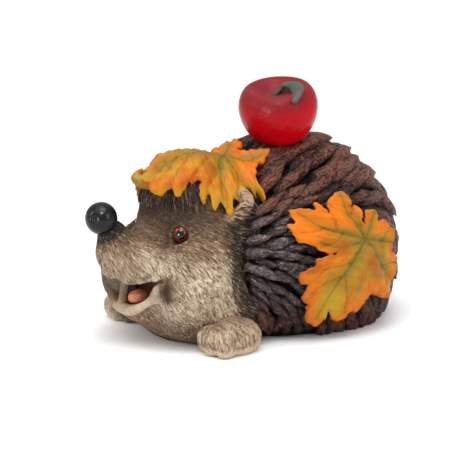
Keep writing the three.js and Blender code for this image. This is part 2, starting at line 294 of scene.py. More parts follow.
FLOOR_HALF = 6.0
floor_mesh = bpy.data.meshes.new("floor")
floor_mesh.from_pydata([(x * FLOOR_HALF, y * FLOOR_HALF, cad_low.z)
                        for x, y in ((-1, -1), (1, -1), (1, 1), (-1, 1))], [], [(0, 1, 2, 3)])
floor = bpy.data.objects.new("floor", floor_mesh)
bpy.context.scene.collection.objects.link(floor)
floor_mesh.materials.append(floor_finish())

# %% [markdown]
# ## Clay
#
# A modeller presses balls of clay together and smooths the joins. A distance function does the
# same: each ball says how far a point lies outside it, and a soft minimum of all of them is one
# skin with fillets where the balls meet. A soft maximum cuts one form out of another.
#
# The balls are those of the solid model, so the skin lies where the solids are.

# %% Distances
def unit(vectors):
    """Vectors of length 1 that point the same way."""
    return vectors / np.linalg.norm(vectors, axis=-1, keepdims=True)


def laid(lie, normals):
    """Directions pressed flat against the surface with these normals."""
    return unit(lie - (lie * normals).sum(1)[:, None] * normals)


def fade(values, low, high):
    """0 at `low`, 1 at `high`, straight between and no further. `low` may be the larger."""
    return np.clip((values - low) / (high - low), 0, 1)


def beside(p, a, b):
    """How far points lie along the line from `a` to `b`, from 0 to 1, and how they lie off it."""
    t = np.clip((p - a) @ (b - a) / max((b - a) @ (b - a), 1e-9), 0, 1)
    return t, p - a - t[:, None] * (b - a)


def turned(tilt):
    """A matrix that tilts a form about X by `tilt` degrees."""
    c, s = math.cos(math.radians(tilt)), math.sin(math.radians(tilt))
    return np.array([[1, 0, 0], [0, c, -s], [0, s, c]])


def ball(p, at, size, tilt=0):
    local = (p - np.array(at, float)) @ turned(tilt)
    near = np.linalg.norm(local / size, axis=1)
    slope = np.linalg.norm(local / np.square(size), axis=1)
    return near * (near - 1) / np.maximum(slope, 1e-9)


def roll(p, path, radius):
    """A roll of clay laid along a path; `radius` is one number, or one for each point."""
    radii = np.broadcast_to(radius, len(path)).astype(float)
    path = np.array(path, float)
    best = np.full(len(p), np.inf)
    for a, b, ra, rb in zip(path[:-1], path[1:], radii[:-1], radii[1:]):
        t, away = beside(p, a, b)
        best = np.minimum(best, np.linalg.norm(away, axis=1) - ra - (rb - ra) * t)
    return best


def join(a, b, softness):
    t = np.clip(0.5 + 0.5 * (b - a) / softness, 0, 1)
    return b * (1 - t) + a * t - softness * t * (1 - t)


def cut(a, b, softness):
    """Form `a` with form `b` cut out of it."""
    return -join(-a, b, softness)


def curve_through(points, steps=6):
    """A smooth curve through a few points, as a finer list of points."""
    p = np.array(points, float)
    p = np.vstack([2 * p[0] - p[1], p, 2 * p[-1] - p[-2]])
    t = np.linspace(0, 1, steps, endpoint=False)[:, None]
    pieces = []
    for a, b, c, d in zip(p[:-3], p[1:-2], p[2:-1], p[3:]):
        pieces.append(0.5 * (2 * b + (c - a) * t + (2 * a - 5 * b + 4 * c - d) * t ** 2
                             + (3 * b - a - 3 * c + d) * t ** 3))
    return np.vstack([*pieces, p[-2:-1]])


def spread(path, places, values):
    """A value for each point of a path, from values at a few places and at its end."""
    return np.interp(np.arange(len(path)), [*places, len(path) - 1], values)


# %% [markdown]
# The head is a skull, a brow and two cheeks, with a long muzzle that turns up to the nose. The
# mouth is scooped out and a thin roll laid round its lower edge is the lip, as on the real
# model. Nearly everything is the same left and right, so a point is folded over to the left side
# first. Only the folds that close the mouth on its right side stand alone.

# %% The head and its small forms
FACE = [
    # form           centre            half sizes        tilt  softness
    ("skull",        (0, -55, 64),     (40, 36, 40),       0,  1),
    ("brow",         (0, -72, 80),     (26, 27, 24),       0, 10),
    ("forelock",     (0, -73.5, 89),   (26, 25, 17),       0,  4),
    ("nose_root",    (0, -86.5, 70),   (14, 18, 15),       0,  6),
    ("cheek",        (25, -82, 39),    (21, 29.5, 27),     0, 12),
    ("chest",        (0, -58, 16),     (47, 42, 24),       0, 12),
    ("muzzle",       (0, -106, 52),    (15, 28, 14),     -20,  9),
    ("nose_seat",    (0, -122, 66),    (9, 12, 9),       -50,  5),
    ("muzzle_front", (0, -124, 56),    (8, 8, 11),         0,  5),
    ("lip_pad",      (8.5, -109.5, 48.3), (10.5, 16, 12.5), 0, 6),
    ("jaw",          (0, -97, 23),     (19, 19, 12),       0,  5),
]
MOUTH_AT, MOUTH_SIZE = (0, -108.5, 33.5), (21, 14.5, 9.5)
MOUTH_CORNER = curve_through([(8, -107, 35), (20, -108.5, 38.5), (31.5, -109.3, 44)])
CORNER_RADII = np.linspace(6.5, 0.9, len(MOUTH_CORNER))
LIP = curve_through([(0, -116, 21.5), (6, -116, 22), (13, -114.5, 25), (20, -112.5, 29.5),
                     (26, -111.3, 34.5), (31, -110, 40.5)])
LIP_RADII = spread(LIP, [0, 12, 24], [2.4, 2.5, 2.1, 0.9])
SMILE = curve_through([(29, -110.5, 45), (31.8, -109.8, 42.5), (33.2, -109.2, 38),
                       (33.4, -108.2, 31)])
FAR_FOLD = curve_through([(-3, -115.5, 22), (-5, -113, 29), (-5.5, -111, 37)])
FAR_HOLLOW = (-19, -109, 33)
PHILTRUM = curve_through([(0, -136, 70), (0, -135.5, 62), (0, -132.5, 54), (0, -127.5, 44)])
NOSE_AT, NOSE_SIZE = middle_of("nose") + (0, 0.6, -0.3), half_size_of("nose") * 1.06
EYE_AT, EYE_SIZE = middle_of("eye_left"), half_size_of("eye_left")
EYE_LOOKS = unit(np.array((0.62, -0.77, 0.06)))
EAR_AT, EAR_SIZE, EAR_TILT = (33, -56, 82.5), (6.5, 7, 8.5), -20
EAR_RIM = curve_through([(37.2, -57, 90), (38.4, -55, 87), (38.8, -55, 84), (37.5, -58, 79),
                         (33.5, -63.5, 75.5), (28, -70, 74)])
EAR_RADII = spread(EAR_RIM, [0, 6, 18, 24], [3.2, 3.8, 4.4, 3.8, 1.8])
EAR_HOLLOW_AT, EAR_HOLLOW_SIZE = (35, -62.5, 84.5), (3.6, 5, 6)
BACK_AT, BACK_SIZE = (0, 0, 40), (65, 76, 75)
EYE_TILT = 18


def folded(p):
    return np.column_stack([np.abs(p[:, 0]), p[:, 1], p[:, 2]])


def face_form(p):
    d = None
    for _, at, size, tilt, softness in FACE:
        form = ball(p, at, size, tilt)
        d = form if d is None else join(d, form, softness)
    return d


def mouth_form(p):
    return join(ball(p, MOUTH_AT, MOUTH_SIZE), roll(p, MOUTH_CORNER, CORNER_RADII), 3)


def far_fold(p):
    """The folds of fur that close the mouth on its right side."""
    return join(roll(p, FAR_FOLD, 2.3), ball(p, (-20, -105.5, 33), (13, 8.5, 12)), 1.5)


def eyelid_cut(d, p):
    """Skin drawn closely over the eyeball, a low rim of lid, and the opening that shows it."""
    d = join(d, ball(p, EYE_AT, EYE_SIZE + 0.2), 1.5)
    opening = ball(p, EYE_AT + 5.6 * EYE_LOOKS, (5.7, 5.7, 6.1), EYE_TILT)
    d = d - 0.5 * np.exp(-((opening - 0.9) / 0.9) ** 2)
    return cut(d, opening, 0.5)


def unevenness(p):
    """The slow dents that fingers leave in clay, in millimetres."""
    return (np.sin(0.21 * p[:, 0] + 0.13 * p[:, 2] + 1.0) * np.sin(0.17 * p[:, 1] - 0.11 * p[:, 2])
            + 0.5 * np.sin(0.45 * p[:, 0] - 0.3 * p[:, 1]) * np.sin(0.38 * p[:, 2] + 0.6)) * 0.3


def skin_form(p):
    m = folded(p)
    d = face_form(m)
    d = cut(d, mouth_form(m), 2.0)
    d = join(d, roll(m, LIP, LIP_RADII), 3.6)
    d = join(d, far_fold(p), 1.5)
    d = cut(d, roll(m, SMILE, 1.2), 2.0)
    d = cut(d, roll(m, PHILTRUM, 0.5), 1.2)
    d = join(d, ball(m, EAR_AT, EAR_SIZE, EAR_TILT), 4)
    d = cut(d, ball(m, EAR_HOLLOW_AT, EAR_HOLLOW_SIZE, EAR_TILT), 1.5)
    d = join(d, roll(m, EAR_RIM, EAR_RADII), 1.5)
    d = eyelid_cut(d, m)
    return d + unevenness(p)


# %% [markdown]
# ## From a distance to a mesh
#
# A distance function becomes a mesh by laying a fine grid over it: every cell that the surface
# crosses gets one point, and every grid edge that it crosses gets one quad between its four
# cells. The points are then evened out and pulled onto the true surface, which gives regular
# quads of one size everywhere, just what fine engraving needs.

# %% Mesh a form
def grid_of(form, low, high, step, block=8):
    """Distances on a fine grid, worked out only in the blocks that the surface may cross."""
    low = np.array(low, float)
    blocks = np.ceil((np.array(high) - low) / (step * block)).astype(int)
    middles = [low[k] + step * block * (np.arange(blocks[k]) + 0.5) for k in range(3)]
    centres = np.stack(np.meshgrid(*middles, indexing="ij"), -1).reshape(-1, 3)
    rough = form(centres).reshape(blocks)
    for axis in range(3):
        rough = rough.repeat(block, axis)
    values = np.pad(rough, ((0, 1),) * 3, mode="edge")
    crossed = np.abs(values) < 1.3 * step * block
    values[crossed] = form(low + step * np.argwhere(crossed))
    return values


def quads_of(values):
    """The cells that the surface crosses, and the quads between them."""
    inside = values < 0
    cells = tuple(n - 1 for n in inside.shape)
    count = np.zeros(cells, int)
    for x, y, z in np.ndindex(2, 2, 2):
        count += inside[x:x + cells[0], y:y + cells[1], z:z + cells[2]]
    mixed = (count > 0) & (count < 8)
    number = np.full(cells, -1)
    number[mixed] = np.arange(mixed.sum())
    quads = []
    for axis in range(3):
        u, v = (axis + 1) % 3, (axis + 2) % 3
        start = inside.take(range(cells[axis]), axis)
        end = inside.take(range(1, cells[axis] + 1), axis)
        at = np.argwhere(start != end)
        at = at[(at[:, u] > 0) & (at[:, v] > 0) & (at[:, u] < cells[u]) & (at[:, v] < cells[v])]
        ring = []
        for du, dv in ((-1, -1), (0, -1), (0, 0), (-1, 0)):
            cell = at.copy()
            cell[:, u] += du
            cell[:, v] += dv
            ring.append(number[tuple(cell.T)])
        ring = np.stack(ring, 1)
        inward = ~start[tuple(at.T)]
        ring[inward] = ring[inward][:, ::-1]
        quads.append(ring)
    return np.argwhere(mixed), np.concatenate(quads)


def slope_of(form, p, step=0.05):
    """The distance at each point and the direction in which it grows."""
    d = form(p)
    moved = [form(p + step * axis) for axis in np.eye(3)]
    return d, (np.stack(moved, 1) - d[:, None]) / step


def pulled(form, p, times=3):
    """Points moved onto the surface."""
    for _ in range(times):
        d, slope = slope_of(form, p)
        steep = np.maximum((slope * slope).sum(1), 0.2)
        p = p - np.clip(d / steep, -2, 2)[:, None] * slope
    return p


def evened(p, quads):
    """Points moved half way to the mean of their neighbours."""
    total, count = np.zeros_like(p), np.zeros(len(p))
    for a, b in ((0, 1), (1, 2), (2, 3), (3, 0)):
        for i, j in ((a, b), (b, a)):
            np.add.at(total, quads[:, i], p[quads[:, j]])
            np.add.at(count, quads[:, i], 1)
    return 0.5 * p + 0.5 * total / np.maximum(count, 1)[:, None]


def modelled(form, low, high, step):
    """Points and quads of a form's surface, in quads about `step` across."""
    cells, quads = quads_of(grid_of(form, low, high, step))
    points = np.array(low, float) + step * (cells + 0.5)
    for _ in range(3):
        points = pulled(form, evened(points, quads), 2)
    return points, quads


def piece_of(name, points, faces, material=None):
    """An object at the origin from points in millimetres."""
    mesh = bpy.data.meshes.new(name)
    mesh.from_pydata((points * MM).tolist(), [], faces.tolist())
    mesh.validate()
    mesh.shade_smooth()
    if material:
        mesh.materials.append(material)
    piece = bpy.data.objects.new(name, mesh)
    bpy.context.scene.collection.objects.link(piece)
    return piece


def store(mesh, **values):
    """Stores values on the mesh, one number or one vector for each point."""
    for name, value in values.items():
        kind, field = ("FLOAT", "value") if value.ndim == 1 else ("FLOAT_VECTOR", "vector")
        layer = mesh.attributes.new(name, kind, "POINT")
        layer.data.foreach_set(field, value.astype(np.float32).ravel())


def placed(piece, slot, *nodes):
    """The piece rides on the casting and stands for its CAD nodes, which are hidden. `slot` is not used.
    """
    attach(piece, "root")
    if nodes:
        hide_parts(*nodes)
    faces = sum(len(face.vertices) - 2 for face in piece.data.polygons)
    print(f"{piece.name}: {faces} triangles")
    return piece


def whole_piece(name, form, low, high, step, finish, slot, node):
    """A whole piece from one form in one finish, and the points that it was made from."""
    points, quads = modelled(form, low, high, step)
    piece = piece_of(name, points, quads, finish)
    return placed(piece, slot, node), points


# %% [markdown]
# ## Fur cut with a modelling tool
#
# The fur of such a figure is thousands of short strokes that all run away from the nose: up over
# the brow, back along the temple and ever steeper down over the cheek. Each stroke here is one
# cut, found by a search tree, that pushes the skin in and remembers how much wash it holds.
# Cutting them in the mesh makes them catch the light at the edge of the form, which a bump alone
# would not. A stroke that would fall on one already cut is left out, so they stay apart.

# %% Strokes
COMBED_FROM = np.array((0, -140, 80))   # strokes run away from here, just before the nose
COMB_FALL = 0.0042                      # and fall more steeply the further they are from it


def combed(points, normals, rng, wander=0.13):
    """The way that fur lies at each point: away from the nose, then down, along the skin."""
    lie = points - COMBED_FROM
    reach = np.linalg.norm(lie, axis=1)
    lie = lie / (reach[:, None] + 1e-9)
    lie[:, 2] -= 2 * COMB_FALL * reach * fade(points[:, 2], 92, 62)
    lie = laid(lie, normals)
    return unit(lie + np.cross(normals, lie) * rng.normal(0, wander, len(lie))[:, None])


def tree_of(points):
    tree = kdtree.KDTree(len(points))
    for i, p in enumerate(points):
        tree.insert(p, i)
    tree.balance()
    return tree


def engraved(points, spots, lies, lengths, widths, forces):
    """How deep each point lies in the strokes, from 0 on a crest to 1 in a groove."""
    tree = tree_of(points)
    depth, taken = np.zeros(len(points)), np.zeros(len(points), bool)
    for spot, lie, length, width, force in zip(spots, lies, lengths, widths, forces):
        if taken[spot]:
            continue
        near = [i for _, i, _ in tree.find_range(points[spot], length / 2 + width)]
        away = points[near] - points[spot]
        along = away @ lie
        across = (away * away).sum(1) - along * along
        groove = np.exp(-across / width ** 2) * np.clip(1.25 - (2 * along / length) ** 4, 0, 1)
        depth[near] = np.maximum(depth[near], force * groove)
        taken[near] |= (across < (1.75 * width) ** 2) & (np.abs(along) < 0.5 * length)
    return np.minimum(depth, 1)


def random_spots(points, quads, count, rng):
    """Points of the mesh picked evenly over its area."""
    a, b, c = (points[quads[:, k]] for k in (0, 1, 2))
    area = np.linalg.norm(np.cross(b - a, c - a), axis=1)
    return quads[rng.choice(len(quads), count, p=area / area.sum()), 0]


def hollows(form, points, reach=2.0):
    """Where the form is hollow, from 0 on a flat or a crest to 1 in a crease."""
    around = sum(form(points + reach * s * axis) for axis in np.eye(3) for s in (-1, 1))
    bend = (around - 6 * form(points)) / reach ** 2
    return np.clip(-bend * 2.2, 0, 1)


# %% [markdown]
# The paint on the fur follows the wash: cream on the muzzle and cheeks, tan round the eyes, a
# dark brow under the leaf and black round the nose. Strokes darken whatever lies below them, and
# a dry brush leaves the crests a little paler.

# %% Fur paint
CREAM, PALE = (0.62, 0.49, 0.345), (0.78, 0.66, 0.50)
TAN, BROWN = (0.26, 0.158, 0.090), (0.145, 0.084, 0.048)
UMBER, COAL = (0.045, 0.028, 0.018), (0.020, 0.013, 0.010)
WASH = (0.038, 0.020, 0.011)
LIP_CREAM, MOUTH_RED = (0.57, 0.45, 0.33), (0.24, 0.125, 0.075)
EAR_TAN, NOSE_BLACK = (0.50, 0.33, 0.20), (0.008, 0.007, 0.006)


def fine_strokes(paint, point, finest, fall):
    """Hair-fine noise drawn out along lines that run away from one point and then fall."""
    away = paint.at - tuple(point)
    far = away.length()
    heading = (away + paint.add("ShaderNodeCombineXYZ", {"Z": far * far * fall})).heading()
    near, beyond = (paint.noise(heading * (reach / finest), 2, W=far * 0.24) for reach in (22, 60))
    share = far.ramp(24, 44)
    return near * (1 - share) + beyond * share


def fur_paint():
    paint = Paint("engraved_fur", CREAM)
    wash, crease, mouth, lip, ear = (paint.painted(key) for key in ("wash", "crease", "mouth", "lip",
                                                                    "ear"))
    cloud, patch = paint.grain(9, 3), paint.grain(22, 2)
    hair = fine_strokes(paint, COMBED_FROM, 0.66, COMB_FALL)
    level = paint.z + (cloud - 0.5) * 13 - paint.y.ramp(-98, -112) * 6
    paint.lay(TAN, level.ramp(46, 60))
    paint.lay(TAN, patch.ramp(0.5, 0.66) * paint.z.ramp(70, 34) * 0.55)
    paint.lay(TAN, (level + paint.y * 0.25).ramp(-1, -15) * 0.85)
    paint.dab(TAN, (4, -126, 54), 8, 16, 0.5)
    paint.dab(BROWN, (38, -90, 6), 8, 14, 0.7)
    paint.lay(BROWN, level.ramp(61, 76))
    paint.lay(UMBER, level.ramp(69, 81))
    paint.dab(UMBER, EYE_AT, 7, 10, 0.6)
    # Towards the quills the fur turns brown, then near black: partly dark paint where the fur ends,
    # partly painted shade where the skin runs in under the quills.
    rim = paint.y + (cloud - 0.5) * 9 + paint.z.ramp(40, 66) * 6
    paint.lay(BROWN, rim.ramp(-77, -64) * 0.85)
    paint.lay(COAL, rim.ramp(-66, -58) * 0.97)
    paint.dab(BROWN, NOSE_AT, 9, 17, 0.75)
    paint.dab(COAL, NOSE_AT, 9, 17, paint.z.ramp(62, 74))
    paint.lay(NOSE_BLACK, (paint.near(NOSE_AT, 9.6, 9) + (hair - 0.5) * 0.9).ramp(0.2, 0.6))
    paint.lay(EAR_TAN, ear * (0.5 + cloud * 0.8))
    paint.lay(PALE, hair.ramp(0.55, 0.66) * (0.10 + paint.z.ramp(78, 56) * 0.5))
    paint.lay(WASH, hair.ramp(0.455, 0.375) * 0.75)
    paint.lay(WASH, wash * (0.75 + cloud * 0.35) * (1 - ear * 0.5))
    # The lip turns brown as it rises to the mouth corner: painted shade under the cheek.
    lip_paint = paint.mix(LIP_CREAM, BROWN, (paint.z - cloud * 4).ramp(25, 36))
    paint.lay(paint.mix(lip_paint, TAN, hair.ramp(0.5, 0.36) * 0.6), lip * 0.85)
    paint.lay(WASH, crease * 0.75)
    # Darker dabs on the far fold of the mouth, in the hollow behind it, in the smile crease and on the
    # chin where it meets the far paw: painted shade.
    for colour, point, radius, soft, share in (
            (BROWN, (-5, -113, 31), 3, 6, 0.6), (UMBER, FAR_HOLLOW, 7, 12, 0.8),
            (UMBER, (33, -109.5, 41), 2, 5.5, 0.85), (UMBER, (33.4, -108.5, 34.5), 2, 5.5, 0.85),
            (UMBER, (-14, -106, 20), 5, 10, 0.75)):
        paint.dab(colour, point, radius, soft, share)
    paint.lay(UMBER, paint.z.ramp(4, 1) * 0.6)
    paint.lay(MOUTH_RED, mouth)
    relief = paint.bump(hair, 0.5, paint.bump(paint.grain(0.8, 2), 0.08))
    return paint.done(0.62 + (cloud - 0.5) * 0.25 + wash * 0.12, 0.12, relief)


# %% [markdown]
# The skin is one mesh from the nose to the neck, with the ears, the mouth, the chin and the
# chest all in it, so no seam shows. It is cut flat where it stands on the ground, and it ends
# inside the spined back.

# %% The skin
GROUND, FOOT_ROOM = cad_low.z / MM, 0.05  # the casting is cut flat just above the ground
SKIN_STEP = 0.67
STROKES, STROKE_DEPTH = 26000, 0.5
NECK_END = -36


def trimmed(piece, point, outward):
    """The piece cut off at a plane and closed there with one flat face."""
    shape = bmesh.new()
    shape.from_mesh(piece.data)
    geometry = shape.verts[:] + shape.edges[:] + shape.faces[:]
    made = bmesh.ops.bisect_plane(shape, geom=geometry, plane_co=Vector(point) * MM,
                                  plane_no=outward, clear_outer=True)
    rim = [e for e in made["geom_cut"] if isinstance(e, bmesh.types.BMEdge)]
    bmesh.ops.contextual_create(shape, geom=rim)
    bmesh.ops.recalc_face_normals(shape, faces=shape.faces[:])
    shape.to_mesh(piece.data)
    shape.free()
    piece.data.shade_smooth()
    return piece


def furred(name, form, low, high, step, count, rng, strength, smooth_at, coarse=1.0):
    """A modelled form with strokes cut into it. `smooth_at` is 1 where no fur is cut."""
    points, quads = modelled(form, low, high, step)
    normals = unit(slope_of(form, points)[1])
    spots = random_spots(points, quads, count, rng)
    spots = spots[rng.random(len(spots)) > smooth_at(points[spots])]
    lies = combed(points[spots], normals[spots], rng)
    brow = fade(points[spots, 2], 70, 78)
    muzzle = fade(np.linalg.norm(points[spots] - NOSE_AT, axis=1), 40, 0)
    lengths = coarse * rng.uniform(3.6, 7.0, len(spots)) * (1 - 0.25 * brow - 0.3 * muzzle)
    widths = coarse * rng.uniform(0.40, 0.56, len(spots))
    forces = rng.uniform(0.3, 1.0, len(spots))
    wash = engraved(points, spots, lies, lengths, widths, forces)
    wash *= 1 - smooth_at(points)
    piece = piece_of(name, points - (strength * wash)[:, None] * normals, quads)
    store(piece.data, wash=wash, crease=hollows(form, points))
    return piece, points, normals


def bare_skin(p):
    """1 on the lip, in the mouth and round the eye, where the surface is smooth."""
    m = folded(p)
    return np.maximum.reduce([fade(roll(m, LIP, LIP_RADII), 1.1, -0.4), fade(mouth_form(m), 1, 0),
                              fade(ball(m, EYE_AT, EYE_SIZE), 1.6, 0.8),
                              fade(ball(p, NOSE_AT, NOSE_SIZE), 2.5, 1)])


rng = np.random.default_rng(11)
skin, skin_points, skin_normals = furred("skin", skin_form, (-52, -142, -6), (52, -30, 112),
                                         SKIN_STEP, STROKES, rng, STROKE_DEPTH, bare_skin)
half = folded(skin_points)
lip_band = fade(roll(half, LIP, LIP_RADII), 2.3, -0.3)
lip_band *= fade(half[:, 2], 40, 34) * fade(skin_points[:, 0], -9, -3)
in_mouth = fade(mouth_form(half), 1.08, -0.12) * (1 - lip_band)
in_mouth *= fade(far_fold(skin_points), 0, 1.5)
ear_rim = fade(roll(half, EAR_RIM, EAR_RADII), 1.68, 0.48)
store(skin.data, lip=lip_band, mouth=in_mouth, ear=ear_rim)
trimmed(skin, (0, 0, GROUND + FOOT_ROOM), (0, 0, -1))
trimmed(skin, (0, NECK_END, 0), (0, 1, 0))
skin.data.materials.append(fur_paint())
placed(skin, "fur", "head", "lower_jaw", "chest", "ear_left", "ear_right")

# %% [markdown]
# ## Paws
#
# Each forepaw is a soft cushion with three toes pressed out of it. It is modelled and furred in
# the same way as the head, with its own strokes running down from the wrist.

# %% Paws
PAW_AT, PAW_SIZE = (49, -72, 8.6), (13.8, 17.5, 11.8)
TOE_SIZE, TOE_SPREAD = (6.2, 7, 8.5), 8.2
PAW_STROKES = 2000


def paw_form(p):
    m = folded(p)
    d = ball(m, PAW_AT, PAW_SIZE)
    for toe in (-1, 0, 1):
        at = (PAW_AT[0] + toe * TOE_SPREAD, -86.5 + abs(toe) * 2, 8)
        d = join(d, ball(m, at, TOE_SIZE), 2.6)
    return d + 0.6 * unevenness(p)


def smooth_rim(p):
    """1 on the lowest edge of the paw, which is rubbed smooth."""
    return fade(p[:, 2], 5.5, 2.5)


def paw_finish():
    paint = Paint("paw_cream", (0.60, 0.46, 0.30))
    wash, crease, cloud = paint.painted("wash"), paint.painted("crease"), paint.grain(7, 3)
    hair = fine_strokes(paint, (46.5, -75, 60), 0.7, 0)
    paint.lay(TAN, cloud.ramp(0.4, 0.7) * 0.6)
    paint.lay(TAN, (paint.z + (cloud - 0.5) * 8).ramp(13, 21) * 0.9)
    paint.lay(PALE, hair.ramp(0.55, 0.68) * 0.5)
    paint.lay((0.060, 0.032, 0.016), wash * (0.75 + cloud * 0.35))
    paint.lay((0.10, 0.055, 0.028), hair.ramp(0.49, 0.39) * 0.8)
    paint.lay(WASH, crease * 0.8)
    paint.lay(LIP_CREAM, paint.z.ramp(6, 1.5) * 0.7)
    # Painted shade on the far paw, where it meets the chin.
    paint.dab(UMBER, (-37, -87, 9), 5, 10, 0.85)
    return paint.done(0.6 + (cloud - 0.5) * 0.2, 0.22, paint.bump(hair, 0.4))


paw_paint = paw_finish()
for side, start in (("left", 26), ("right", -66)):
    rng = np.random.default_rng(21)
    paw, _, _ = furred(f"forepaw_{side}", paw_form, (start, -97, -4), (start + 40, -50, 28), 0.66,
                       PAW_STROKES, rng, 0.9, smooth_rim, 1.9)
    trimmed(paw, (0, 0, GROUND + FOOT_ROOM), (0, 0, -1))
    paw.data.materials.append(paw_paint)
    placed(paw, "fur", f"paw_{side}")

# %% [markdown]
# ## Nose, eyes and tongue
#
# These small glossy things are what a viewer looks at first. The nose is a ball with two dents
# under its gloss. Each eye is a smooth ball whose paint is laid in rings round the way it looks:
# a black pupil, a red ring and a dark edge. The tongue has a groove down its middle.

# %% Nose
NOSTRIL_AT, NOSTRIL_SIZE = (4.4, -140, 79.5), (1.8, 2.4, 1.6)


def nose_form(p):
    d = ball(p, NOSE_AT, NOSE_SIZE)
    return cut(d, ball(folded(p), NOSTRIL_AT, NOSTRIL_SIZE), 1.2) + 0.25 * unevenness(p * 2)


def nose_gloss():
    paint = Paint("nose_gloss", (0.003, 0.003, 0.0033))
    smear = paint.grain(3, 3)
    paint.lay((0.009, 0.0085, 0.0085), smear)
    return paint.done(0.2 + smear * 0.16, 0.1, paint.bump(paint.grain(1.6, 3), 0.12), 0.3, 0.08)


whole_piece("nose_ball", nose_form, NOSE_AT - 12, NOSE_AT + 12, 0.45, nose_gloss(), "nose", "nose")


# %% Eyes
PUPIL_LOOKS = np.array((0.74, -0.64, 0.19))


def eye_paint(side, middle, look):
    """Rings of paint round the way that the eye looks."""
    paint = Paint(f"eye_glass_{side}", (0.02, 0.007, 0.005))
    facing = paint.add("ShaderNodeVectorMath", {0: (paint.at - tuple(middle)).heading(), 1: tuple(look)},
                       out="Value", operation="DOT_PRODUCT")
    ring = facing + (paint.grain(1.2, 2) - 0.5) * 0.05
    paint.lay((0.14, 0.014, 0.007), ring.ramp(0.44, 0.58))
    paint.lay((0.24, 0.045, 0.015), ring.ramp(0.6, 0.7) * paint.grain(0.8, 2).ramp(0.4, 0.7))
    paint.lay((0.004, 0.004, 0.004), ring.ramp(0.85, 0.88))
    return paint.done(0.1, 0.2, None, 0.5, 0.03)


for side, mirror in (("left", (1, 1, 1)), ("right", (-1, 1, 1))):
    middle = EYE_AT * mirror
    whole_piece(f"eyeball_{side}", lambda p: ball(p, middle, EYE_SIZE), middle - 8, middle + 8, 0.4,
                eye_paint(side, middle, PUPIL_LOOKS * mirror), "eye", f"eye_{side}")


# %% Tongue
TONGUE_AT, TONGUE_SIZE, TONGUE_TILT = np.array((3.0, -108.4, 29.2)), (5.8, 6.0, 4.0), 12


def tongue_form(p):
    d = ball(p, TONGUE_AT, TONGUE_SIZE, TONGUE_TILT)
    groove = 0.8 * np.exp(-(p[:, 0] / 1.2) ** 2)
    return d + groove + 0.4 * unevenness(p * 3)


def tongue_paint():
    paint = Paint("tongue_coral", (0.62, 0.19, 0.095))
    cloud = paint.grain(2.5, 3)
    paint.lay((0.84, 0.34, 0.19), cloud.ramp(0.35, 0.7))
    paint.lay((0.12, 0.028, 0.018), paint.y.ramp(-103, -97))
    paint.lay((0.10, 0.03, 0.018), paint.grain(0.9, 3).ramp(0.45, 0.3) * 0.6)
    return paint.done(0.42 + cloud * 0.1, 0.3, paint.bump(paint.grain(0.9, 2), 0.25))


whole_piece("tongue_tip", tongue_form, TONGUE_AT - 14, TONGUE_AT + 14, 0.5, tongue_paint(), "tongue",
            "tongue")


# %% [markdown]
# ## Flat drawings
#
# Quills are pressed flat where a leaf lies on them, so the leaves come first. A maple leaf
# starts as a drawing on the flat: an outline, a few strong veins and the side
# veins that leave them. Distances to those lines are worked out once on a fine flat grid, and
# looked up afterwards for any point, which keeps hundreds of thousands of points cheap.

# %% Charts
class Chart:
    """Values on a flat grid, looked up at any point between."""

    def __init__(self, low, high, step, work):
        self.low, self.step = np.array(low, float), step
        counts = np.ceil((np.array(high) - low) / step).astype(int) + 2
        lines = [self.low[k] + step * np.arange(counts[k]) for k in (0, 1)]
        self.flat = np.stack(np.meshgrid(*lines, indexing="ij"), -1).reshape(-1, 2)
        self.values = work(self.flat).reshape(counts)

    def at(self, flat):
        place = np.clip((flat - self.low) / self.step, 0, np.array(self.values.shape) - 1.001)
        i, j = place.astype(int).T
        s, t = (place - place.astype(int)).T
        v = self.values
        return ((v[i, j] * (1 - s) + v[i + 1, j] * s) * (1 - t)
                + (v[i, j + 1] * (1 - s) + v[i + 1, j + 1] * s) * t)


def to_lines(flat, path):
    """Distance from flat points to a path of straight pieces."""
    best = np.full(len(flat), np.inf)
    for a, b in zip(path[:-1], path[1:]):
        best = np.minimum(best, np.linalg.norm(beside(flat, a, b)[1], axis=1))
    return best


def to_outline(flat, ring):
    """Distance to a closed outline, less than zero inside it."""
    odd = np.zeros(len(flat), bool)
    for (ax, ay), (bx, by) in zip(ring, np.roll(ring, -1, 0)):
        spans = (ax > flat[:, 0]) != (bx > flat[:, 0])
        level = ay + (by - ay) * (flat[:, 0] - ax) / (bx - ax + 1e-12)
        odd ^= spans & (flat[:, 1] < level)
    away = to_lines(flat, np.vstack([ring, ring[:1]]))
    return np.where(odd, -away, away)


def polar(points):
    """Flat points from degrees and reach."""
    angle, reach = np.radians([a for a, _ in points]), np.array([r for _, r in points], float)
    return np.column_stack([reach * np.cos(angle), reach * np.sin(angle)])


# %% [markdown]
# ## Maple leaves
#
# A leaf is laid over the body like a cloth: from above each of its points it is let down until
# it rests just over head and quills. Strong veins are pressed into it, the blade swells between
# them, and the tips turn up or down, all within one sheet of clay of even thickness.

# %% A leaf of clay
LEAF_THICKNESS = 2.0
LEAF_CLEARANCE = 0.6                     # room kept between a leaf and the body
LEAF_RISE = 16                           # how far above its own plane a leaf starts to fall
LEAF_STEP, CHART_STEP = 0.7, 0.6
STEEPEST = 3.0                           # steeper than this, a sheet is not thickened further


def leaf_bed(p):
    """The body that the leaves lie on, with the crease between head and back bridged."""
    return join(ball(p, BACK_AT, BACK_SIZE), face_form(folded(p)), 5)


def nearest_of(lines):
    """The distance from flat points to the nearest of some lines drawn in degrees and reach."""
    paths = [curve_through(polar(line), 4) for line in lines]
    return lambda flat: np.min([to_lines(flat, path) for path in paths], 0)


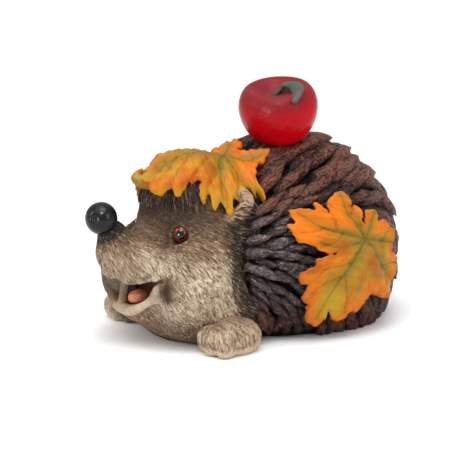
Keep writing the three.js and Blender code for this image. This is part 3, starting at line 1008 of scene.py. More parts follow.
class MapleLeaf:
    """One leaf: its drawing, and the way that it lies on the body."""

    def __init__(self, name, at, up, heading, outline, veins, twigs, floor, swell):
        self.name, self.at = name, np.array(at, float)
        n = unit(np.array(up))
        a = unit(np.array(heading) - n * (n @ heading))
        self.axes = np.stack([a, np.cross(n, a), n])
        ring = curve_through(polar([*outline, outline[0]]), 3)[:-1]
        low, high = ring.min(0) - 5, ring.max(0) + 5
        self.edge = Chart(low, high, CHART_STEP, lambda flat: to_outline(flat, ring))
        self.vein, self.twig = (Chart(low, high, CHART_STEP, nearest_of(lines))
                                for lines in (veins, twigs))
        self.floor, self.swell = floor, swell
        self.lie = Chart(low, high, CHART_STEP, self.height)
        across, along = np.gradient(self.lie.values, CHART_STEP)
        steep = np.minimum(np.sqrt(1 + across ** 2 + along ** 2), STEEPEST)
        self.steep = Chart(low, high, CHART_STEP, lambda flat: steep)

    def placed(self, flat, height):
        return self.at + np.column_stack([flat, height]) @ self.axes

    def local(self, p):
        """Flat place and height of points in space."""
        local = (p - self.at) @ self.axes.T
        return local[:, :2], local[:, 2]

    def height(self, flat):
        """Height of the middle of the sheet over the leaf's own flat plane."""
        floor = self.floor(flat)
        rest = np.full(len(flat), float(LEAF_RISE))
        for _ in range(30):
            gap = leaf_bed(self.placed(flat, rest)) - LEAF_CLEARANCE
            rest = np.maximum(rest - 0.8 * np.maximum(gap, 0), floor)
        edge, vein, twig = (np.minimum(c.at(flat), 60) for c in (self.edge, self.vein, self.twig))
        relief = 2.1 * (1 - np.exp(-(vein / 5) ** 2)) - 0.6 * np.exp(-(vein / 0.9) ** 2)
        relief += 0.8 * (1 - np.exp(-(twig / 2.6) ** 2)) - 0.7 * np.exp(-(twig / 0.8) ** 2)
        relief += 1.6 * unevenness(np.column_stack([flat * 2.1, flat[:, 0] * 3]))
        angle = np.arctan2(flat[:, 1], flat[:, 0])
        curl = 0.6 + 1.1 * np.sin(7 * angle + 1.0) + 0.8 * np.sin(16 * angle)
        relief += curl * np.exp(np.minimum(edge, 0) / 3.5)
        return rest + LEAF_THICKNESS / 2 + relief + self.swell(flat)

    def form(self, p):
        flat, height = self.local(p)
        sheet = np.abs(height - self.lie.at(flat)) / self.steep.at(flat) - LEAF_THICKNESS / 2
        return cut(sheet, -self.edge.at(flat) - 1.6 * unevenness(p * 4.5), 1.2)

    def under(self, p):
        """How far points stick out above the leaf's underside, or below zero where they don't."""
        flat, height = self.local(p)
        over = height - self.lie.at(flat) + (LEAF_THICKNESS / 2 + 0.2) * self.steep.at(flat)
        return np.where((self.edge.at(flat) < 0.5) & (height > -30), over, -1)

    def pressed(self, p):
        """Points moved down so that none sticks through the leaf."""
        return p - np.maximum(self.under(p), 0)[:, None] * self.axes[2]

    def made(self, finish, slot, form=None):
        flat = self.edge.flat[self.edge.at(self.edge.flat) < 1]
        corners = self.placed(flat, self.lie.at(flat))
        leaf, points = whole_piece(self.name, form or self.form, corners.min(0) - 4, corners.max(0) + 4,
                                   LEAF_STEP, finish, slot, self.name.replace("maple_", "leaf_"))
        flat, _ = self.local(points)
        store(leaf.data, edge=-self.edge.at(flat), vein=self.vein.at(flat), twig=self.twig.at(flat),
              flat=np.column_stack([flat, np.zeros(len(flat))]))


# %% [markdown]
# The paint follows the drawing: bright orange round the rim and out in the tips, golden yellow
# in the blade, green along the strong veins and where they meet, and a brown wash at the bottom
# of each vein. Long brush strokes run from the middle of the leaf towards its tips.

# %% Leaf paint
ORANGE, DEEP_ORANGE = (0.66, 0.175, 0.002), (0.46, 0.080, 0.002)
GOLD, LEMON = (0.70, 0.27, 0.004), (0.56, 0.32, 0.008)
MOSS, OLIVE = (0.20, 0.19, 0.018), (0.26, 0.155, 0.010)
LEAF_BROWN, BURNT = (0.13, 0.045, 0.012), (0.42, 0.085, 0.004)


def leaf_paint(name, gold_from, green_reach, lemon_at, tone, burnt, orange, yellow_under):
    """`orange`, `burnt` and `lemon_at` are spots of their own, `yellow_under` is a height."""
    paint = Paint(name, ORANGE)
    edge, vein, twig = (paint.painted(key) for key in ("edge", "vein", "twig"))
    flat = paint.painted("flat", "Vector")
    reach = flat.length()
    brush = paint.noise(flat.heading() * 15.0, 3, W=reach * 0.1)
    cloud, speck = paint.grain(9, 3), paint.grain(1.6, 3)
    inner = edge + (brush - 0.5) * 9 + (cloud - 0.5) * 7
    paint.lay(GOLD, inner.ramp(gold_from, gold_from + 5))
    paint.lay(DEEP_ORANGE, (edge + (brush - 0.5) * 7).ramp(2.2, 0.0) * 0.6)
    paint.lay(LEMON, (cloud + brush).ramp(1.0, 1.25) * inner.ramp(3, 9) * 0.7)
    paint.lay(OLIVE, inner.ramp(6, 13) * (cloud * 0.9 + 0.15))
    for spot in orange:
        paint.dab((0.86, 0.20, 0.003), spot, 8, 15, brush * 0.7 + 0.45)
    paint.lay((0.45, 0.085, 0.004), brush.ramp(0.46, 0.34) * 0.55)
    low_rim = paint.z.ramp(yellow_under, yellow_under - 6) * (edge + (brush - 0.5) * 6).ramp(5, 1)
    paint.lay((0.66, 0.37, 0.010), low_rim * 0.6)
    green = (vein - (brush - 0.5) * 8).ramp(6, 0.2)
    paint.lay(MOSS, green * (reach.ramp(green_reach, 4) * 0.65 + 0.2))
    if lemon_at:
        paint.dab((0.47, 0.33, 0.015), lemon_at, 5, 9, speck * 0.6 + 0.5)
    paint.lay(LEAF_BROWN, vein.ramp(1.1, 0.2) * (brush * 0.6))
    paint.lay(LEAF_BROWN, twig.ramp(0.9, 0.1) * 0.25)
    for spot in burnt:
        paint.dab(BURNT, spot, 2, 6, brush + 0.2)
    paint.lay(LEAF_BROWN, edge.ramp(0.3, -0.8) * 0.45)
    paint.lay((0.85, 0.46, 0.05), brush.ramp(0.6, 0.75) * inner.ramp(2, 5) * 0.3)
    paint.colour = paint.mix((0, 0, 0), paint.colour, tone)
    return paint.done(0.36 + speck * 0.2, 0.16, paint.bump(brush, 0.5, paint.bump(speck, 0.12)))


# %% The leaf over the forehead
def head_floor(flat):
    """The front of the leaf juts over the brow, and its sides hang down."""
    u, v = flat.T
    ridge = np.interp(u, [-30, 0, 7, 24, 35, 48, 58], [-10, -2.8, 1, 8.2, 9.3, 7.2, 5.4])
    steep = (0.0009 + 0.00004 * np.clip(u - 8, 0, 30)) * np.where(v < 0, 1.8, 1.0)
    return ridge - steep * np.abs(v) ** 3


def head_swell(flat):
    """The front lobe is arched, the far side lies low, and a small lobe at the back is lifted."""
    u, v = flat.T
    arch = 1.4 * np.exp(-(v / 12) ** 2) * fade(u, 0, 14)
    low = np.interp(u, [4, 14, 28, 40], [2.4, 0.4, 0.4, 3.0]) * fade(-v, 2, 11)
    tilted_up = 2.6 * np.exp(-((u + 12) ** 2 + (v + 12) ** 2) / 120)
    return arch - low + tilted_up


leaf_head = MapleLeaf(
    "maple_head", at=(7, -49, 106), up=(0.08, -0.3, 0.95), heading=(0, -1, 0),
    outline=[(334, 50), (341, 53), (348, 57), (352, 58), (357, 60), (1, 60), (6, 60), (8, 58), (10, 61),
             (13, 60), (15, 56), (16, 52), (17, 49), (19, 51), (21, 49), (22, 45), (24, 42), (26, 40),
             (28, 38), (31, 36), (34, 36), (32, 39), (32, 41), (34, 42), (36, 40), (38, 37), (40, 39),
             (41, 41), (43, 42), (45, 40), (47, 37), (49, 38), (51, 41), (54, 41), (57, 39), (59, 35),
             (61, 34), (65, 35), (68, 32), (70, 29), (73, 29), (77, 27), (81, 24), (83, 28), (85, 31),
             (87, 28), (88, 31), (88, 35), (90, 36), (93, 32), (95, 28), (98, 25), (104, 24), (109, 22),
             (117, 23), (129, 24), (138, 25), (144, 27), (149, 27), (150, 20), (153, 12), (163, 9),
             (170, 11), (181, 15), (197, 17), (210, 19), (222, 23), (232, 24), (242, 22), (252, 18),
             (264, 22), (272, 27), (280, 26), (290, 24), (300, 31), (306, 37), (312, 44), (318, 41),
             (322, 37), (327, 41), (331, 45)],
    veins=[[(0, 0), (352, 13), (358, 31), (2, 54)], [(0, 0), (49, 28), (50, 38)],
           [(0, 0), (75, 22), (86, 32)], [(0, 0), (118, 11), (141, 25)],
           [(0, 0), (221, 20)], [(0, 0), (274, 20), (271, 30)], [(0, 0), (308, 24), (311, 41)]],
    twigs=[[(352, 13), (29, 20), (27, 37)], [(354, 18), (14, 32), (16, 46)],
           [(357, 30), (8, 42), (9, 52)], [(358, 36), (350, 46), (347, 54)],
           [(48, 18), (43, 26), (37, 38)], [(49, 26), (52, 33), (53, 39)],
           [(75, 20), (70, 26), (66, 32)], [(352, 20), (338, 32), (336, 44)],
           [(308, 18), (322, 26), (324, 34)]],
    floor=head_floor, swell=head_swell)
BROW_ROLL = curve_through([(15, -105.5, 95.3), (10.4, -108.4, 96.2), (3, -107.8, 97.4),
                           (-1.5, -106.2, 98.6), (-5, -102.5, 100), (-8.5, -97, 101)])
ROLL_RADII = spread(BROW_ROLL, [0, 8, 18], [1.0, 1.9, 2.4, 1.2])


def leaf_with_roll(p):
    return join(leaf_head.form(p), roll(p, BROW_ROLL, ROLL_RADII), 2.5)


leaf_head.made(leaf_paint("maple_front_paint", 3.5, 34, (2, -108, 97), 0.76,
                          [(12, -66, 111), (24, -70, 104)], [(25, -39, 104), (-4, -38, 108)], 98),
               "leaf", leaf_with_roll)


# %% The leaf on the flank
def flank_floor(flat):
    return -0.009 * (flat ** 2).sum(1)


def flank_swell(flat):
    """One lobe has a long raised fold beside the lowest vein."""
    fold = to_lines(flat, polar([(200, 9), (197, 22), (205, 36)]))
    return 2.2 * np.exp(-(fold / 3.2) ** 2)


leaf_flank = MapleLeaf(
    "maple_flank", at=(64, 11, 58), up=(0.97, 0.15, 0.2), heading=(0, 0, 1),
    outline=[(60, 50), (63, 48), (68, 46), (70, 50), (72, 49), (77, 46), (82, 43), (87, 34),
             (93, 32), (98, 28), (102, 21), (99, 31), (99, 38), (104, 37), (105, 45), (107, 48),
             (113, 48), (116, 46), (122, 51), (129, 50), (136, 55), (141, 56), (145, 56),
             (148, 52), (146, 46), (152, 49), (158, 49), (162, 46), (164, 42), (169, 43),
             (176, 42), (180, 38), (188, 34), (206, 43), (215, 45), (227, 41), (241, 39),
             (245, 37), (248, 28), (258, 30), (266, 30), (273, 29), (281, 27), (294, 22),
             (303, 17), (308, 21), (325, 20), (342, 16), (355, 9), (8, 11), (3, 18), (7, 22),
             (11, 19), (18, 16), (10, 26), (11, 30), (18, 32), (34, 33), (43, 32), (49, 28),
             (47, 34), (46, 39), (50, 40), (53, 38), (56, 44)],
    veins=[[(0, 0), (67, 29), (60, 45)], [(0, 0), (24, 20), (16, 30)], [(0, 0), (318, 20)],
           [(0, 0), (258, 20), (256, 33)], [(0, 0), (221, 24), (224, 50)],
           [(0, 0), (138, 20), (137, 36), (142, 52)], [(0, 0), (96, 18), (84, 30)]],
    twigs=[[(139, 16), (116, 28), (109, 40)], [(138, 26), (125, 36), (124, 46)],
           [(138, 24), (155, 36), (160, 44)], [(66, 20), (50, 26), (50, 33)],
           [(67, 28), (74, 36), (75, 43)], [(221, 24), (236, 32), (241, 42)],
           [(221, 30), (208, 38), (205, 42)], [(24, 16), (8, 22), (8, 28)],
           [(258, 18), (276, 24), (276, 29)], [(67, 16), (86, 22), (88, 30)]],
    floor=flank_floor, swell=flank_swell)
leaf_flank.made(leaf_paint("maple_flank_paint", 5.5, 46, (63, -13, 24), 0.79,
                           [(67, 19, 38), (69, 16, 45), (66, -6, 56)],
                           [(62, -38, 74), (60, -10, 79), (62, 13, 68), (62, -26, 68)], 0), "leaf")

# %% [markdown]
# ## The apple
#
# The apple is turned like a pot from half an outline, with a soft hollow at the crown, and it
# leans a little towards its left front. Its stem rises from the hollow and carries one thick
# leaf that bends over like a hook and rests on the crown.

# %% Apple
APPLE_AT, APPLE_RADIUS, APPLE_HALF = np.array((9.3, -9.8, 130.6)), 23.8, 21
APPLE_LEAN, APPLE_TIP = 11, 6.5          # degrees towards the front, and towards the left
APPLE_OUTLINE = [(0, 0.36), (0.25, 0.42), (0.5, 0.58), (0.72, 0.68), (0.9, 0.52), (1, 0.12),
                 (0.92, -0.35), (0.68, -0.78), (0.38, -0.97), (0, -0.9)]
APPLE_TURN = np.array(Matrix.Rotation(math.radians(APPLE_TIP), 3, "Y")
                      @ Matrix.Rotation(math.radians(APPLE_LEAN), 3, "X"))


def in_apple(p):
    """Points in the apple's own frame, with its stem upwards."""
    return (p - APPLE_AT) @ APPLE_TURN


def half_outline():
    outline = curve_through([(r * APPLE_RADIUS, z * APPLE_HALF) for r, z in APPLE_OUTLINE], 6)
    return np.vstack([outline, outline[::-1] * (-1, 1)])


APPLE_CHART = Chart((-1, -26), (30, 22), 0.5, lambda flat: to_outline(flat, half_outline()))


def apple_form(p):
    own = in_apple(p)
    d = APPLE_CHART.at(np.column_stack([np.hypot(own[:, 0], own[:, 1]), own[:, 2]]))
    return d + 0.55 * unevenness(own * 0.7 + 3)


def apple_paint():
    paint = Paint("apple_red", (0.48, 0.001, 0.004))
    rise, ring = paint.painted("rise"), paint.painted("ring")
    cloud, speck = paint.grain(11, 3), paint.grain(1.8, 3)
    level = rise + (cloud - 0.5) * 0.35
    paint.lay((0.40, 0.001, 0.006), level.ramp(-0.75, 0.05))
    paint.lay((0.17, 0.014, 0.018), level.ramp(0.05, 0.62) * 0.85)
    paint.lay((0.12, 0.040, 0.040), ring.ramp(0.55, 0.1) * level.ramp(0.2, 0.4) * 0.7)
    paint.lay((0.55, 0.10, 0.09), speck.ramp(0.62, 0.8) * level.ramp(-0.2, 0.4) * 0.25)
    rough = 0.17 + cloud * 0.10 + level.ramp(0.3, 0.7) * 0.2
    return paint.done(rough, 0.1, paint.bump(speck, 0.16, paint.bump(cloud, 0.9)))


apple, points = whole_piece("apple_fruit", apple_form, APPLE_AT - 27, APPLE_AT + 27, 0.9, apple_paint(),
                            "apple", "apple")
own = in_apple(points)
store(apple.data, rise=own[:, 2] / APPLE_HALF, ring=np.hypot(own[:, 0], own[:, 1]) / APPLE_RADIUS)


# %% Stem and leaf of the apple
def ribbon_form(p, path, widths, thick, side):
    """A flat band of clay along a path: squashed rolls, wide along `side` and thin across it."""
    best = np.full(len(p), np.inf)
    for a, b, wa, wb in zip(path[:-1], path[1:], widths[:-1], widths[1:]):
        t, away = beside(p, a, b)
        wide = away @ side
        thin = np.linalg.norm(away - wide[:, None] * side, axis=1)
        width = wa + (wb - wa) * t
        best = np.minimum(best, (np.hypot(wide / width, thin / thick) - 1) * thick)
    return best


STEM = curve_through([(-5, -0.7, 6), (-3.7, 1.2, 7.9), (-2.2, 4, 10.3), (-0.9, 6.1, 12.3)])
STEM_RADII = np.linspace(1.7, 1.3, len(STEM))
APPLE_LEAF = curve_through([(-1.1, 5.8, 12.3), (1.2, 7.2, 13.6), (4.5, 7.9, 14), (12, 5.6, 15.2),
                            (19, 1.8, 15.6), (21.8, -1.4, 14.3), (22.6, -3.4, 13)])
LEAF_WIDTHS = spread(APPLE_LEAF, [0, 6, 14, 22, 30], [1.4, 2.2, 3.2, 4.3, 4.6, 2.8])
LEAF_SIDE = unit(np.array((0.21, 0.79, 0.58)))


def stem_form(p):
    return roll(in_apple(p), STEM, STEM_RADII) + 0.3 * unevenness(p * 4)


def apple_leaf_form(p):
    return ribbon_form(in_apple(p), APPLE_LEAF, LEAF_WIDTHS, 1.8, LEAF_SIDE) + 0.35 * unevenness(p * 3)


def bark_paint(name, colour, further, along_from, along_to):
    """Grey-brown bark, or a leaf that fades from green to brown along its length."""
    paint = Paint(name, colour)
    along, speck = paint.painted("along"), paint.grain(1.1, 3)
    paint.lay(further, (along + (speck - 0.5) * 0.3).ramp(along_from, along_to))
    paint.lay((0.020, 0.014, 0.012), speck.ramp(0.48, 0.34) * 0.7)
    paint.lay((0.24, 0.20, 0.17), speck.ramp(0.6, 0.74) * 0.3)
    return paint.done(0.5 + speck * 0.15, relief=paint.bump(speck, 0.35))


for name, form, path, finish, slot, node in (
        ("apple_stalk", stem_form, STEM,
         bark_paint("apple_stalk_paint", (0.060, 0.042, 0.036), (0.045, 0.038, 0.030), 0, 1),
         "stem", "apple_stem"),
        ("apple_hook_leaf", apple_leaf_form, APPLE_LEAF,
         bark_paint("apple_hook_leaf_paint", (0.035, 0.085, 0.05), (0.075, 0.06, 0.05), 0.45, 0.68),
         "apple_leaf", "apple_leaf")):
    spots = APPLE_AT + path @ APPLE_TURN.T
    piece, points = whole_piece(name, form, spots.min(0) - 6, spots.max(0) + 6, 0.4, finish, slot, node)
    nearest = np.linalg.norm(in_apple(points)[:, None] - path[None], axis=2).argmin(1)
    store(piece.data, along=nearest / (len(path) - 1))

# %% [markdown]
# ## The quills
#
# Behind the face the casting is thatched with fat blunt quills. They spring from a dark core,
# fan up and back from the face, and turn down towards the ground at the flank and the rump.
# Each one lies over the root of the next, as slates do, so only its blunt tip shows.

# %% Core
QUILL_RISE = 7.5                         # from the core up to the quills' tips
CORE_SIZE = np.array(BACK_SIZE, float) - QUILL_RISE


def core_form(p):
    return ball(p, BACK_AT, CORE_SIZE) + unevenness(p)


def core_paint():
    paint = Paint("quill_shadow", (0.008, 0.006, 0.005))
    cloud = paint.grain(6, 3)
    paint.lay((0.020, 0.014, 0.012), cloud)
    return paint.done(0.7 + cloud * 0.2, 0.05, paint.bump(paint.grain(2, 3), 0.6))


core, _ = whole_piece("quill_bed", core_form, (-64, -72, -8), (64, 74, 114), 2.2, core_paint(),
                      "spines", "spined_back")
trimmed(core, (0, 0, GROUND + FOOT_ROOM), (0, 0, -1))

# %% [markdown]
# Roots are dropped on the core one by one and kept only where no neighbour is too close. Along
# the lie of the quills more room is wanted than across it, so the test squashes the distance in
# that direction. The result is even without being regular, like quills laid by hand.

# %% Where the quills stand
def outward_at(p):
    return unit((p - BACK_AT) / np.square(CORE_SIZE))


def quill_lie(p, n):
    """A fan: upwards and back above, level behind the cheek, and down at the flank and rump."""
    rump, skirt = fade(p[:, 1], 8, 58), fade(p[:, 2], 30, 14)
    rise = 0.75 * np.clip((p[:, 2] - 60) / 34, -0.8, 1) - 1.25 * rump * rump * (3 - 2 * rump)
    return laid(np.column_stack([np.zeros(len(p)), 1 - 0.85 * skirt, rise - 1.4 * skirt]), n)


def quill_sizes(p):
    """Length and thickness: short and slim behind the cheek, long and fat over the back."""
    near_face = fade(skin_form(p), 46, 20) * fade(p[:, 2], 88, 72)
    skirt = fade(p[:, 2], 24, 16)
    return 33 - 14 * near_face - 11 * skirt, 8.2 - 2.2 * near_face + 0.6 * skirt


def kept_apart(p, n, lie, length, thick, along_room, across_room):
    """Which points can stay, so that none is too close to another that stays."""
    across = np.cross(n, lie)
    kept = []
    for i in range(len(p)):
        away = p[kept] - p[i]
        room = ((away @ lie[i]) / (along_room * length[i])) ** 2
        room += ((away @ across[i]) / (across_room * thick[i])) ** 2
        if not kept or (room + ((away @ n[i]) / 12) ** 2).min() > 1:
            kept.append(i)
    return kept


def quill_roots(rng, tries):
    p = BACK_AT + unit(rng.normal(size=(tries, 3))) * CORE_SIZE
    p = p[(p[:, 2] > 9) & (skin_form(p) > -2.5)]
    p = np.vstack([p, skin_points[collar(skin_points)][::5]])
    n = outward_at(p)
    lie = quill_lie(p, n)
    length, thick = quill_sizes(p)
    kept = kept_apart(p, n, lie, length, thick, 0.34, 0.66)
    return p[kept], n[kept], lie[kept], length[kept], thick[kept]


def collar(p):
    """Where short quills stand on the skin itself: behind the cheek, and behind the left ear."""
    front = np.interp(p[:, 2], [16, 34, 52, 66, 80], [-50, -57, -60, -57, -48])
    top = np.where(p[:, 0] > 0, 84, 50)
    return (p[:, 1] > front) & (p[:, 2] > 16) & (p[:, 2] < top) & (ball(p, BACK_AT, CORE_SIZE) > -1)


rng = np.random.default_rng(5)
roots, outs, lies, lengths, thicks = quill_roots(rng, 45000)
print("quills:", len(roots))

# %% [markdown]
# One quill is swept in Geometry Nodes and then bent to a shallow arc. Its thickness is rounded
# off at both ends, each with a length and a sharpness of its own. Rings stand closer together
# towards the tip, where the shape turns fastest. The tree sets a copy on every root,
# turned to its lie, then makes the copies real so that they leave Blender as one mesh. The same
# tree makes the fringe on the brow and the locks behind the cheek.

# %% The thatching tree
def rounded_end(bench, far, length, sharpness):
    """Rises from 0 at an end to 1 where the end's length is used up."""
    left = 1.0 - bench.add("ShaderNodeMath", {0: far / length, 1: 1.0}, operation="MINIMUM")
    return bench.add("ShaderNodeMath", {0: 1.0 - left * left, 1: 0.0}, operation="MAXIMUM") ** sharpness


def thatching_tree():
    """The tree, and the identifier of each of its inputs by name."""
    tree = bpy.data.node_groups.new("thatching", "GeometryNodeTree")
    bench = Bench(tree)
    names = {}
    for kind, inputs in (("Geometry", "roots"), ("Int", "rings sides seed"), ("Material", "finish"),
                         ("Float", "bend flatness root_length tip_length tip_sharpness roll uneven")):
        for name in inputs.split():
            names[name] = tree.interface.new_socket(name=name, in_out="INPUT",
                                                    socket_type="NodeSocket" + kind).identifier
    tree.interface.new_socket(name="thatch", in_out="OUTPUT", socket_type="NodeSocketGeometry")
    source = tree.nodes.new("NodeGroupInput")
    given = {name: Wire(bench, source.outputs[name]) for name in names}

    def kept(geometry, name, value):
        return bench.add("GeometryNodeStoreNamedAttribute",
                         {"Geometry": geometry, "Name": name, "Value": value},
                         data_type="FLOAT", domain="POINT")

    def stored(name, kind="FLOAT"):
        return bench.add("GeometryNodeInputNamedAttribute", {"Name": name}, data_type=kind)

    def drawn(low, high, seed):
        """A random number of each copy's own."""
        return bench.add("FunctionNodeRandomValue", {2: low, 3: high, "Seed": seed}, out=1,
                         data_type="FLOAT")

    line = bench.add("GeometryNodeCurvePrimitiveLine", {"Start": (0, 0, 0), "End": (0, 0, 1)})
    line = bench.add("GeometryNodeResampleCurve", {"Curve": line, "Count": given["rings"]})
    left = 1.0 - bench.add("GeometryNodeSplineParameter")
    along = 1.0 - left * left
    line = bench.add("GeometryNodeSetPosition",
                     {"Geometry": line, "Position": bench.add("ShaderNodeCombineXYZ", {"Z": along})})
    circle = bench.add("GeometryNodeCurvePrimitiveCircle", {"Resolution": given["sides"], "Radius": 1.0})
    swell = (rounded_end(bench, along, given["root_length"], 0.5)
             * rounded_end(bench, 1.0 - along, given["tip_length"], given["tip_sharpness"]))
    body = bench.add("GeometryNodeCurveToMesh", {
        "Curve": kept(line, "along", along), "Scale": swell * 0.5 + 0.015, "Fill Caps": True,
        "Profile Curve": kept(circle, "round", bench.add("GeometryNodeSplineParameter"))})
    reach = stored("along")
    arch = bench.add("ShaderNodeCombineXYZ", {"X": reach * (1.0 - reach) * given["bend"] * 2})
    quill = bench.add("GeometryNodeSetPosition", {"Geometry": body, "Offset": arch})

    turn = bench.add("FunctionNodeAxesToRotation", {"Primary Axis": stored("lie", "FLOAT_VECTOR"),
                                                    "Secondary Axis": stored("out", "FLOAT_VECTOR")},
                     primary_axis="Z", secondary_axis="X")
    rolled = drawn(-given["roll"], given["roll"], given["seed"])
    twist = bench.add("FunctionNodeAxisAngleToRotation", {"Axis": (0, 0, 1), "Angle": rolled})
    turn = bench.add("FunctionNodeRotateRotation", {0: turn, 1: twist}, rotation_space="LOCAL")
    uneven = drawn(1 - given["uneven"], 1 + given["uneven"], given["seed"] + 7)
    thick = stored("thick") * uneven
    size = bench.add("ShaderNodeCombineXYZ", {"X": thick * given["flatness"], "Y": thick,
                                              "Z": stored("length") * uneven})
    copies = bench.add("GeometryNodeInstanceOnPoints",
                       {"Points": given["roots"], "Instance": quill, "Rotation": turn, "Scale": size})
    real = bench.add("GeometryNodeRealizeInstances", {"Geometry": copies})
    painted = bench.add("GeometryNodeSetMaterial", {"Geometry": real, "Material": given["finish"]})
    bench.add("NodeGroupOutput", {0: painted})
    return tree, names


THATCHING, THATCH_INPUTS = thatching_tree()


# %% [markdown]
# The roots go in as loose points that carry each quill's lie, length and thickness. What comes
# out is turned into a plain mesh, and its points are then kneaded a little, so that no two
# quills are quite alike. Each quill also gets its own small patch on the `OFBake` map, laid out
# in the order of the roots round and along the back, for when the paint is baked.

# %% Thatch
def thatched(name, roots, outs, lies, lengths, thicks, **inputs):
    points = bpy.data.meshes.new(f"{name}_roots")
    points.from_pydata((roots * MM).tolist(), [], [])
    tones = np.random.default_rng(inputs["seed"]).random(len(roots))
    store(points, lie=lies, out=outs, length=lengths * MM, thick=thicks * MM, tone=tones,
          number=np.arange(len(roots)))
    base = bpy.data.objects.new(f"{name}_base", points)
    bpy.context.scene.collection.objects.link(base)
    modifier = base.modifiers.new("thatch", "NODES")
    modifier.node_group = THATCHING
    for key, value in inputs.items():
        modifier[THATCH_INPUTS[key]] = value
    view = bpy.context.evaluated_depsgraph_get()
    mesh = bpy.data.meshes.new_from_object(base.evaluated_get(view), depsgraph=view)
    mesh.name = name
    base.modifiers.remove(modifier)
    bpy.data.objects.remove(base)
    mesh.shade_smooth()
    piece = bpy.data.objects.new(name, mesh)
    bpy.context.scene.collection.objects.link(piece)
    bake_patches(mesh, roots)
    number = np.rint(values_of(mesh, "number")).astype(int)
    angle, along = values_of(mesh, "round") * 2 * np.pi, values_of(mesh, "along")
    reach = thicks[number] / 2
    store(mesh, streak=np.column_stack([np.cos(angle) * reach, np.sin(angle) * reach,
                                        along * lengths[number] * 0.4 + number * 3.7]))
    return piece


def values_of(mesh, name):
    values = np.zeros(len(mesh.vertices), np.float32)
    mesh.attributes[name].data.foreach_get("value", values)
    return values


def bake_patches(mesh, roots):
    """A patch for each quill on the OFBake map, in the order of the roots on the back."""
    across = int(np.ceil(np.sqrt(len(roots))))
    by_row = np.argsort(roots[:, 1], kind="stable")
    cell = np.zeros((len(roots), 2))
    for row in range(across):
        members = by_row[row * across:(row + 1) * across]
        angle = np.arctan2(roots[members, 0], roots[members, 2] - BACK_AT[2])
        for column, member in enumerate(members[np.argsort(angle, kind="stable")]):
            cell[member] = column, row
    corners = np.zeros(len(mesh.loops), np.int32)
    mesh.loops.foreach_get("vertex_index", corners)
    number = np.rint(values_of(mesh, "number")).astype(int)[corners]
    along, turn = values_of(mesh, "along")[corners], values_of(mesh, "round")[corners]
    start = np.zeros(len(mesh.polygons), np.int32)
    mesh.polygons.foreach_get("loop_start", start)
    face = np.repeat(np.arange(len(start)), np.diff(np.append(start, len(corners))))
    widest = np.maximum.reduceat(turn, start)[face]
    turn = np.where(widest - turn > 0.5, turn + 1, turn)
    place = (cell[number] + 0.08 + 0.84 * np.column_stack([turn, along])) / across
    layer = mesh.uv_layers.new(name="OFBake")
    layer.data.foreach_set("uv", place.astype(np.float32).ravel())


def kneaded(piece, size, depth, leaves=()):
    """Every point moved a little by noise, pressed down under a leaf, and kept off the ground."""
    mesh = piece.data
    co = np.zeros(len(mesh.vertices) * 3, np.float32)
    mesh.vertices.foreach_get("co", co)
    co = co.reshape(-1, 3).astype(float) / MM
    co += depth * np.array([noise.noise_vector(Vector(c) / size) for c in co])
    for leaf in leaves:
        co = leaf.pressed(co)
    co[:, 2] = np.maximum(co[:, 2], GROUND + 2 * FOOT_ROOM)
    mesh.vertices.foreach_set("co", (co * MM).astype(np.float32).ravel())
    mesh.update()
    return co


def quill_paint():
    paint = Paint("dry_brushed_quill", (0.007, 0.005, 0.0045))
    tone, crest = paint.painted("tone"), paint.painted("crest")
    bark = paint.noise(paint.painted("streak", "Vector"), 3, 1.15)
    cloud, speck = paint.grain(5, 3), paint.grain(1.3, 3)
    paint.lay((0.022, 0.014, 0.012), cloud)
    brushed = (bark * 1.0 + crest * 0.34 + (tone - 0.5) * 0.14 + (speck - 0.5) * 0.35).ramp(0.65, 0.92)
    red = paint.mix((0.25, 0.074, 0.042), (0.14, 0.060, 0.043), tone)
    red = paint.mix(red, (0.092, 0.033, 0.022), paint.z.ramp(74, 44))
    red = paint.mix(red, (0.26, 0.085, 0.048), bark.ramp(0.55, 0.7) * speck.ramp(0.45, 0.6))
    # Near the face the quills are grey, with paler flecks that are partly grey paint and partly painted
    # sheen.
    grey_and_sheen = paint.mix((0.045, 0.037, 0.040), (0.23, 0.165, 0.155), speck.ramp(0.38, 0.75))
    near_face = (paint.y + (cloud - 0.5) * 16).ramp(2, -26) * paint.z.ramp(88, 66) * paint.z.ramp(14, 30)
    paint.lay(paint.mix(red, grey_and_sheen, near_face * 0.85), brushed)
    # Near black low down towards the core: partly the dark base coat that the dry brush misses, partly
    # painted shade deep between the quills.
    paint.lay((0.006, 0.005, 0.0045), crest.ramp(0.45, 0.05) * 0.85)
    relief = paint.bump(bark, 1.3, paint.bump(speck, 0.2, paint.bump(cloud, 0.5)))
    return paint.done(0.30 + speck * 0.24, 0.14, relief, near_face * 0.35, 0.22)


lift = 7.4 / lengths - lengths / 150      # a long quill must dip to follow the round back
lift += 0.12 * fade(roots[:, 2], 20, 12)
quill_lies = lies + outs * lift[:, None] + rng.normal(0, 0.055, lies.shape)
quills = thatched("quills", roots - outs * 1.2, outs, quill_lies, lengths, thicks, seed=3,
                  bend=0.72, flatness=0.95, root_length=0.2, tip_length=0.12, tip_sharpness=0.5,
                  roll=0.3, uneven=0.1, sides=7, rings=11, finish=quill_paint())
tips = kneaded(quills, 3.6, 1.1, (leaf_head, leaf_flank))
store(quills.data, crest=fade(ball(tips, BACK_AT, CORE_SIZE), 1.5, 7.5))
placed(quills, "spines")

# %% [markdown]
# The same tree lays two more kinds of hair on the skin. A dark fringe hangs in short upright
# locks under the leaf on the brow, and a row of thin locks runs from the cheek over the first
# quills, which hides where the fur ends.

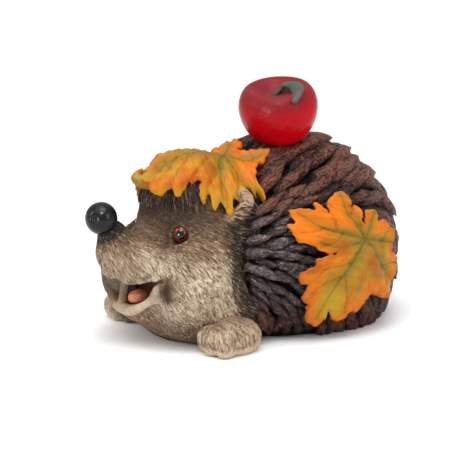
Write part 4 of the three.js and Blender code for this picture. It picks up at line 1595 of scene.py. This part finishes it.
# %% Fringe and locks
def locks_on_skin(pick, lie_of, count, length, thick, rooms, rng):
    """Lock roots on the skin where `pick` is true, with their lie along it."""
    spots = np.flatnonzero(pick(skin_points))
    spots = rng.choice(spots, min(count, len(spots)), replace=False)
    p, n = skin_points[spots], skin_normals[spots]
    lie = laid(lie_of(p, n), n)
    size = rng.uniform(0.8, 1.2, len(p))
    kept = kept_apart(p, n, lie, length * size, thick * np.ones(len(p)), *rooms)
    return p[kept], n[kept], lie[kept], (length * size)[kept], np.full(len(kept), float(thick))


def on_brow(p):
    clear_of_ear = ball(folded(p), EAR_AT, np.array(EAR_SIZE) + 5, EAR_TILT) > 0
    return (p[:, 2] > 86) & (p[:, 2] < 102) & (p[:, 1] < -52) & clear_of_ear


def on_rim(p):
    depth = ball(p, BACK_AT, BACK_SIZE)
    return (depth > 2.0) & (depth < 11) & (p[:, 2] > 14) & (p[:, 2] < 86) & (np.abs(p[:, 0]) > 24)


def fringe_lie(p, n):
    return np.tile((0.0, 0.1, -1.0), (len(p), 1)) + rng.normal(0, 0.08, p.shape)


def lock_lie(p, n):
    return combed(p, n, rng, 0.25) + (0, 0.5, 0.15)


def lock_paint(name, deep, light, share):
    paint = Paint(name, deep)
    along, tone = paint.painted("along"), paint.painted("tone")
    bark = paint.noise(paint.painted("streak", "Vector"), 2, 2.2)
    ridge = (bark + (tone - 0.5) * 0.3 + along * 0.1).ramp(0.52, 0.7)
    paint.lay(light, ridge * share)
    paint.lay(tuple(0.3 * c for c in deep), along.ramp(0.3, 0.0) * 0.8)
    return paint.done(0.55 + bark * 0.1, 0.2, paint.bump(bark, 0.4))


for name, pick, lie_of, count, length, thick, rooms, lift, finish in (
        ("brow_fringe", on_brow, fringe_lie, 9000, 7.5, 1.7, (0.5, 0.72), 0.05,
         lock_paint("fringe_brown", (0.016, 0.010, 0.007), (0.19, 0.11, 0.062), 0.85)),
        ("cheek_locks", on_rim, lock_lie, 5000, 9.0, 1.4, (0.5, 1.2), 0.08,
         lock_paint("lock_brown", (0.028, 0.018, 0.013), (0.20, 0.135, 0.09), 0.7))):
    rng = np.random.default_rng(8)
    roots, outs, lies, lengths, thicks = locks_on_skin(pick, lie_of, count, length, thick, rooms, rng)
    locks = thatched(name, roots - outs * 0.4, outs, lies + outs * lift, lengths, thicks, seed=5,
                     bend=0.5, flatness=0.75, root_length=0.3, tip_length=0.6, tip_sharpness=0.75,
                     roll=0.5, uneven=0.15, sides=6, rings=7, finish=finish)
    kneaded(locks, 2.5, 0.4, (leaf_head,))
    placed(locks, "fur")
